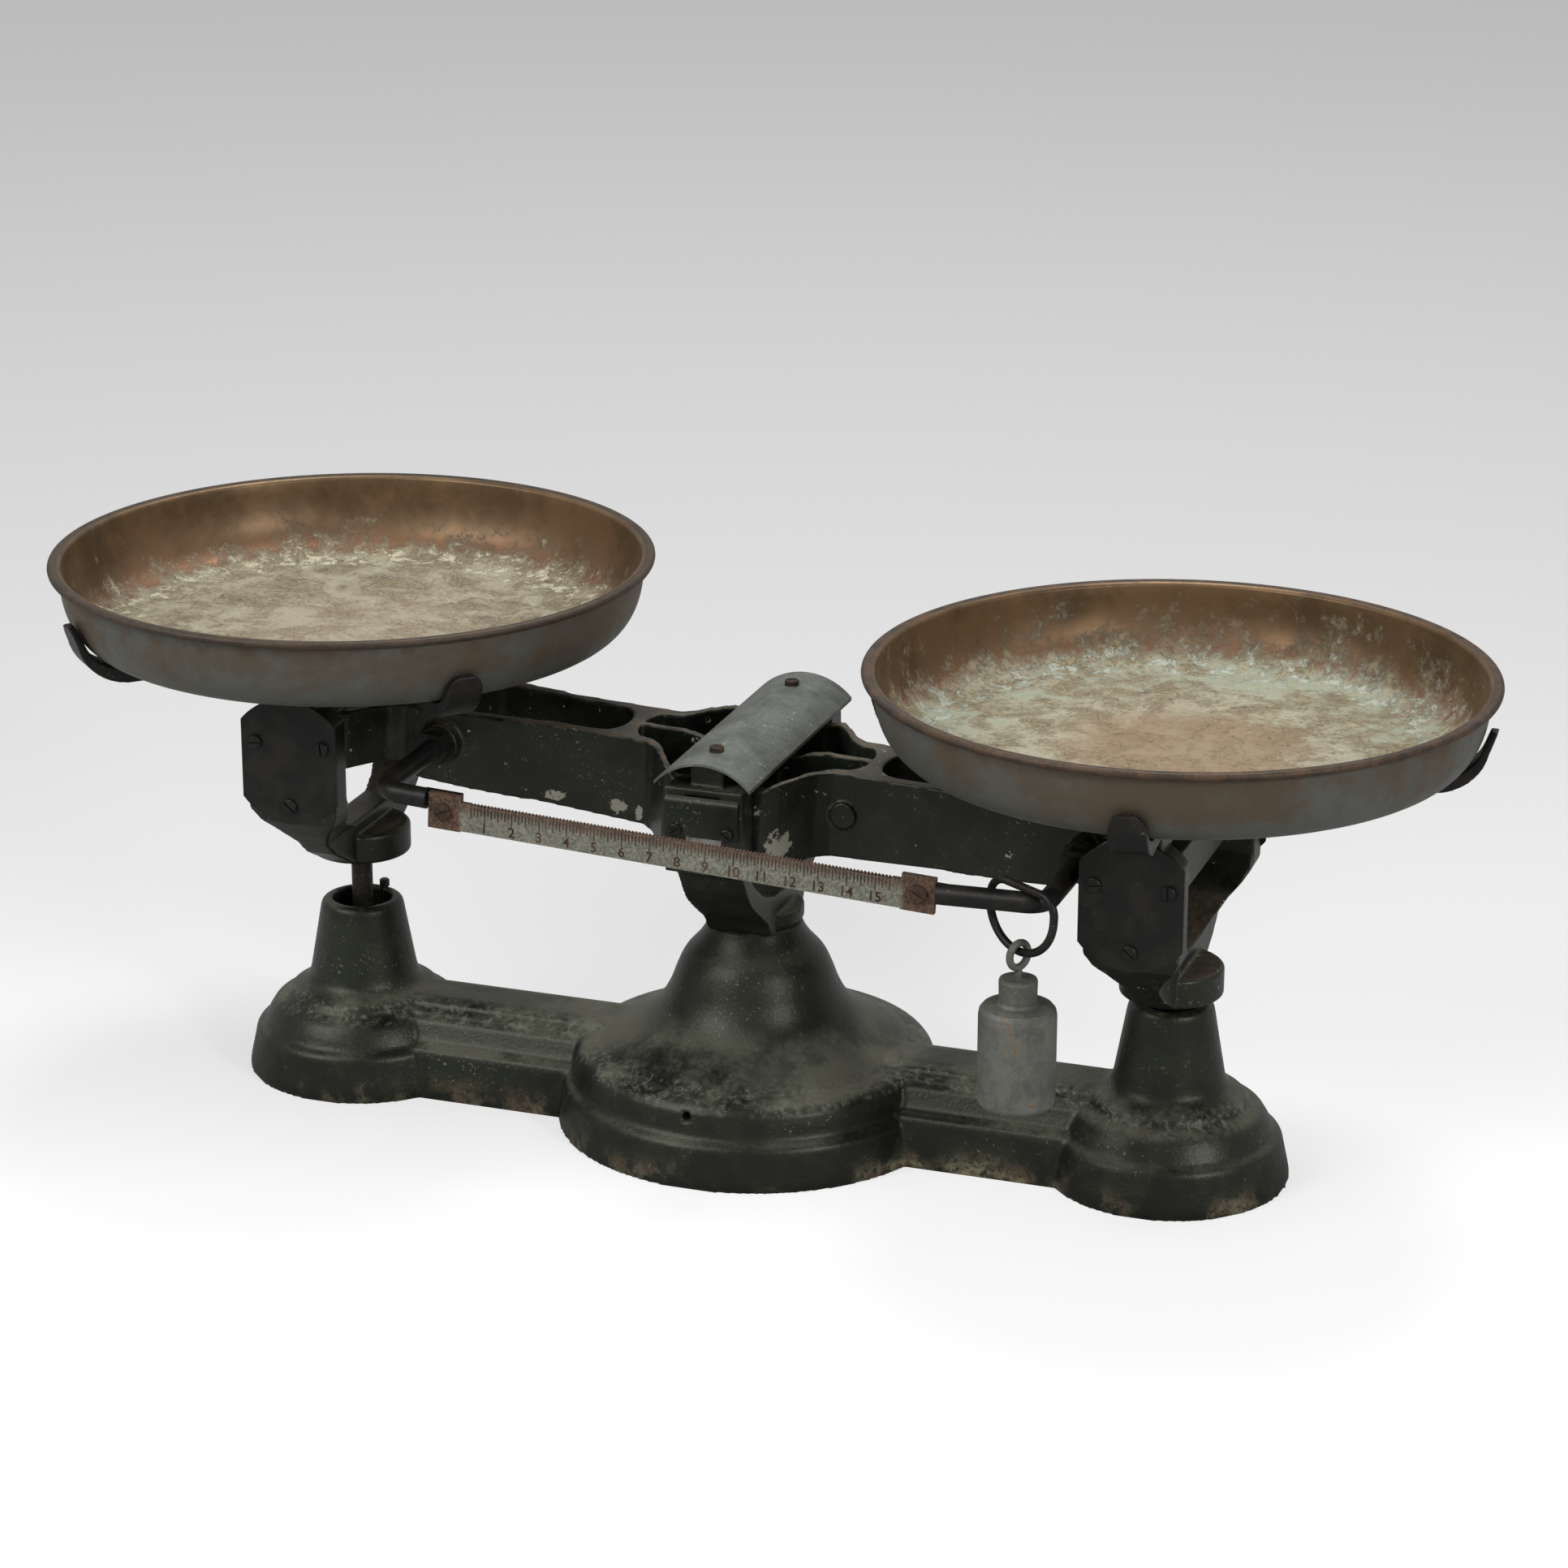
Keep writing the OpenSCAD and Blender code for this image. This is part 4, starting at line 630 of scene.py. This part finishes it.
def makeHolder(nodeName, make):
    # the hub of the CAD holder with four new arms
    holder = copyOf(nodeName, make["name"])
    centre = Vector((make["centre"][0] * mm, 0, make["centre"][1] * mm))
    arms = []
    for quarter in range(4):
        turn = math.radians(make["turn"] + 90 * quarter)
        along = Vector((math.cos(turn), math.sin(turn), 0))
        openMesh(holder)
        bpy.ops.mesh.bisect(plane_co=centre + along * holderArm["keep"] * mm, plane_no=along,
                            use_fill=True, clear_outer=True)
        closeMesh()
        arm = makeArm(holderArm["frontTip"] if quarter == 3 else holderArm["tip"])
        arm.location = centre
        arm.rotation_euler = (0, 0, turn)
        settle(arm)
        arms.append(arm)
    return joinPieces(holder, arms)


def castPiece(nodeName, make):
    piece = makeHolder(nodeName, make) if "turn" in make else copyOf(nodeName, make["name"])
    modify(piece, "REMESH", mode="VOXEL", voxel_size=make["voxel"] * mm, adaptivity=0)
    modify(piece, "SMOOTH", factor=0.5, iterations=make["passes"])
    modify(piece, "DECIMATE", ratio=make["keep"])
    smoothShade(piece, 60)
    setMaterial(piece, make["finish"])
    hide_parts(nodeName)
    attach(piece, make["body"])


for nodeName, make in castings.items():
    castPiece(nodeName, make)
    print("cast", make["name"])


# pans: one profile turned round, edge rolled outward

pan = {"rim": 127.0, "wall": 122.4, "flat": 100.0, "depth": 33.9, "gauge": 1.2, "steps": 180,
       "underRim": 2, "curve": 0.83, "wallSteps": 16, "bead": 1.75, "beadHeight": 1.65,
       "beadStart": 100, "beadTurn": 205, "beadSteps": 10,
       "left": (-panReach, 229.80), "right": (panReach, 216.65)}


def panProfile():
    # from the middle of the floor over the wall and the rolled edge to the underside
    inner, outer = [], []
    for i in range(pan["wallSteps"] + 1):
        turn = math.radians(90 * i / pan["wallSteps"])
        reach = math.cos(turn) ** pan["curve"]
        fall = math.sin(turn) ** pan["curve"]
        inner.append((pan["flat"] + (pan["wall"] - pan["gauge"] - pan["flat"]) * reach,
                      -pan["underRim"] - (pan["depth"] - pan["gauge"] - pan["underRim"]) * fall))
        outer.append((pan["flat"] + (pan["wall"] - pan["flat"]) * reach,
                      -pan["underRim"] - (pan["depth"] - pan["underRim"]) * fall))
    # the rolled edge, and the small steps between it and the wall
    bead = []
    for i in range(pan["beadSteps"] + 1):
        turn = math.radians(pan["beadStart"] - pan["beadTurn"] * i / pan["beadSteps"])
        bead.append((pan["rim"] - pan["bead"] + pan["bead"] * math.cos(turn),
                     -pan["bead"] + pan["beadHeight"] * math.sin(turn)))
    lip = [(pan["wall"] - pan["gauge"] + 0.3, -1.1), (pan["wall"] + 0.4, -0.5)]
    back = [(pan["wall"] + 1.0, -2.9)]
    return ([(0, pan["gauge"] - pan["depth"])] + inner[::-1] + lip + bead + back + outer
            + [(0, -pan["depth"])])


def turnPan(name, centre):
    piece = drawLine(name, [Vector((r * mm, 0, z * mm)) for r, z in panProfile()])
    bpy.ops.mesh.spin(steps=pan["steps"], angle=math.tau, center=(0, 0, 0), axis=(0, 0, 1))
    bpy.ops.mesh.select_all(action="SELECT")
    bpy.ops.mesh.remove_doubles(threshold=0.002 * mm)
    bpy.ops.mesh.normals_make_consistent(inside=False)
    closeMesh()
    piece.location = (centre[0] * mm, 0, centre[1] * mm)
    settle(piece)
    return piece


def dressPan(name, nodeName, side, inside, outside):
    piece = turnPan(name, pan[side])
    setMaterial(piece, inside)
    piece.data.materials.append(outside.material)
    # the inner finish on faces that look up or towards the middle, as far as the wall's edge
    for face in piece.data.polygons:
        reach = math.hypot(face.center.x / mm - pan[side][0], face.center.y / mm)
        inward = face.normal.z > 0.05 or (face.normal.x * (face.center.x - pan[side][0] * mm)
                                          + face.normal.y * face.center.y) < 0
        face.material_index = 0 if inward and reach < pan["wall"] + 0.2 else 1
    smoothShade(piece, 50)
    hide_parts(nodeName)
    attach(piece, nodeName)


dressPan("panLeft", "pan_left", "left", leftPanInside, leftPanOutside)
dressPan("panRight", "pan_right", "right", rightPanInside, rightPanOutside)
print("pans turned")


# ticks and numbers on the graduated bar

scaleMarks = {"front": -91.25, "pitch": 11.793, "divisions": 15, "top": -1.0, "width": 0.62,
              "foot": 0.6, "numberSize": 4.4 * 1.35, "numberRow": -11.0, "numberDeep": 0.06,
              "numberBold": 0.10}


def putOnBar(piece):
    piece.location = beamFrame["pivot"]
    piece.rotation_euler = (0, beamFrame["lean"], 0)
    settle(piece)
    setMaterial(piece, tickRust)
    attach(piece, "beam")


def tickRow(name, step, count, offset, length, proud):
    # lengths in millimetres, on a bar that lies level with its upper edge at height 0
    start = -scaleMarks["pitch"] * scaleMarks["divisions"] / 2 + offset
    clearSelection()
    bpy.ops.mesh.primitive_cube_add(
        size=1, location=(start * mm, scaleMarks["front"] * mm, (scaleMarks["top"] - length / 2) * mm),
        scale=(scaleMarks["width"] * mm, 2 * proud * mm, length * mm))
    row = nameIt(name)
    settle(row)
    takeBelow(row, (scaleMarks["top"] - length / 2) * mm)
    # a punch mark narrows downwards
    bpy.ops.transform.resize(value=(scaleMarks["foot"], 1, 1))
    closeMesh()
    modify(row, "ARRAY", use_relative_offset=False, use_constant_offset=True,
           constant_offset_displace=(step * mm, 0, 0), count=count)
    return row


pitch = scaleMarks["pitch"]
marks = tickRow("barTicks", pitch / 8, 121, 0, 3.0, 0.03)
joinPieces(marks, [tickRow("fourths", pitch / 4, 61, 0, 3.9, 0.04),
                   tickRow("halves", pitch, 16, 0, 4.6, 0.05),
                   tickRow("wholes", pitch, 15, pitch / 2, 5.8, 0.06)])
putOnBar(marks)

numbers = []
for count in range(scaleMarks["divisions"]):
    clearSelection()
    x = (count + 0.5 - scaleMarks["divisions"] / 2) * pitch
    bpy.ops.object.text_add(location=(x * mm, scaleMarks["front"] * mm, scaleMarks["numberRow"] * mm),
                            rotation=(math.pi / 2, 0, 0))
    label = bpy.context.view_layer.objects.active
    label.data.body = str(count + 1)
    label.data.size = scaleMarks["numberSize"] * mm
    label.data.align_x = "CENTER"
    label.data.extrude = scaleMarks["numberDeep"] * mm
    label.data.resolution_u = 3
    label.data.offset = scaleMarks["numberBold"] * mm
    pick(label)
    bpy.ops.object.convert(target="MESH")
    numbers.append(bpy.context.view_layer.objects.active)
labels = joinPieces(numbers[0], numbers[1:])
nameIt("barNumbers")
settle(labels)
putOnBar(labels)
print("bar marked")


# finishes for the CAD nodes that stay

plain = {
    "post_stop_pins": smallIron, "stay_pivot_pin": bareSteel, "yoke_bolt": bareSteel,
    "centre_bearing_front": bareSteel, "centre_bearing_rear": bareSteel,
    "bearing_cap_front": smallIron, "bearing_cap_rear": smallIron, "bearing_cap_screws": blackSteel,
    "centre_cover": coverSheet, "cover_screws": rustySteel, "centre_knife": bareSteel,
    "end_knife_left": bareSteel, "end_knife_right": bareSteel, "graduated_bar": barFace,
    "bar_screws": rustySteel, "bar_arm_left": blackSteel, "bar_arm_right": blackSteel,
    "arm_washers": plateSteel, "arm_nuts": plateSteel, "carrier_bearings_left": bareSteel,
    "carrier_rod_left": blackSteel, "cheek_plate_left_front": plateSteel,
    "cheek_plate_left_rear": plateSteel, "cheek_screws_left": plateSteel,
    "spider_screw_left": bareSteel, "carrier_bearings_right": bareSteel,
    "carrier_rod_right": blackSteel, "cheek_plate_right_front": plateSteel,
    "cheek_plate_right_rear": plateSteel, "cheek_screws_right": plateSteel,
    "spider_screw_right": bareSteel, "spider_spacer_right": blackSteel, "stay_bar": smallIron,
    "stay_end_pins": bareSteel, "poise_bail": blackSteel, "poise_weight": zinc, "poise_eye": zinc,
}
for nodeName, finish in plain.items():
    setMaterial(nodes[nodeName], finish)
print("nodes dressed")


# floor, light and camera

studio = {"position": (0.60810, -1.70428, 0.77879), "azimuth": 19.26, "elevation": 19.225,
          "roll": 0.096, "lens": 106.478, "sensor": 36, "floorSize": 60, "worldLight": 0.42,
          "paper": 0.42, "glowTop": 0.249, "glowRise": 1.04, "glowPower": 3.4, "glowMost": 0.66,
          "nearest": 0.6, "rowScale": 2.958, "lampAim": (0, 0, 0.1)}


def floorPaper():
    # pale paper; to the camera it glows a little more the nearer it lies
    f = Finish("floorPaper", Roughness=0.9, Specular_IOR_Level=0.0, Emission_Strength=1.0)
    azimuth = math.radians(studio["azimuth"])
    x = f.part(f.place, "X")
    y = f.part(f.place, "Y")
    away = ((x - studio["position"][0]) * -math.sin(azimuth)
            + (y - studio["position"][1]) * math.cos(azimuth))
    slope = studio["position"][2] / f.most(away, studio["nearest"])
    middle = math.tan(math.radians(studio["elevation"]))
    # 0 at the picture's top, 1 at its foot
    row = 0.5 + studio["rowScale"] * (slope - middle) / (1 + slope * middle)
    row = f.most(row, 0.0)
    glow = studio["glowTop"] + studio["glowRise"] * row ** studio["glowPower"]
    glow = f.least(glow, studio["glowMost"])
    seen = f.node("LightPath", output="Is Camera Ray")
    shown = seen * glow
    f.give(Base_Color=(studio["paper"], studio["paper"], studio["paper"]),
           Emission_Color=f.node("CombineColor", None, {0: shown, 1: shown, 2: shown}))
    return f


clearSelection()
bpy.ops.mesh.primitive_plane_add(size=studio["floorSize"], location=(0, 0, 0))
floor = nameIt("floor")
setMaterial(floor, floorPaper())

world = bpy.data.worlds.new("studioWorld")
bpy.context.scene.world = world
world.use_nodes = True
background = world.node_tree.nodes["Background"]
background.inputs["Color"].default_value = (1, 1, 1, 1)
background.inputs["Strength"].default_value = studio["worldLight"]

lamps = [
    {"name": "keyLamp", "at": (-1.5, -1.9, 2.1), "size": 1.6, "power": 40},
    {"name": "fillLamp", "at": (2.13, -1.36, 1.30), "size": 0.45, "power": 19},
    {"name": "topLamp", "at": (0.0, 0.8, 2.4), "size": 0.8, "power": 26},
]
for lamp in lamps:
    clearSelection()
    aim = (Vector(studio["lampAim"]) - Vector(lamp["at"])).to_track_quat("-Z", "Y").to_euler()
    bpy.ops.object.light_add(type="AREA", location=lamp["at"], rotation=aim)
    light = bpy.context.view_layer.objects.active
    light.name = lamp["name"]
    light.data.size = lamp["size"]
    light.data.energy = lamp["power"]

clearSelection()
bpy.ops.object.camera_add(location=studio["position"])
camera = bpy.context.view_layer.objects.active
camera.name = "camera"
view = (Matrix.Rotation(math.radians(studio["azimuth"]), 4, "Z")
        @ Matrix.Rotation(math.radians(90 - studio["elevation"]), 4, "X")
        @ Matrix.Rotation(math.radians(studio["roll"]), 4, "Z"))
camera.rotation_euler = view.to_euler()
camera.data.lens = studio["lens"]
camera.data.sensor_width = studio["sensor"]
bpy.context.scene.camera = camera
bpy.context.scene.view_settings.view_transform = "Standard"
print("studio ready")
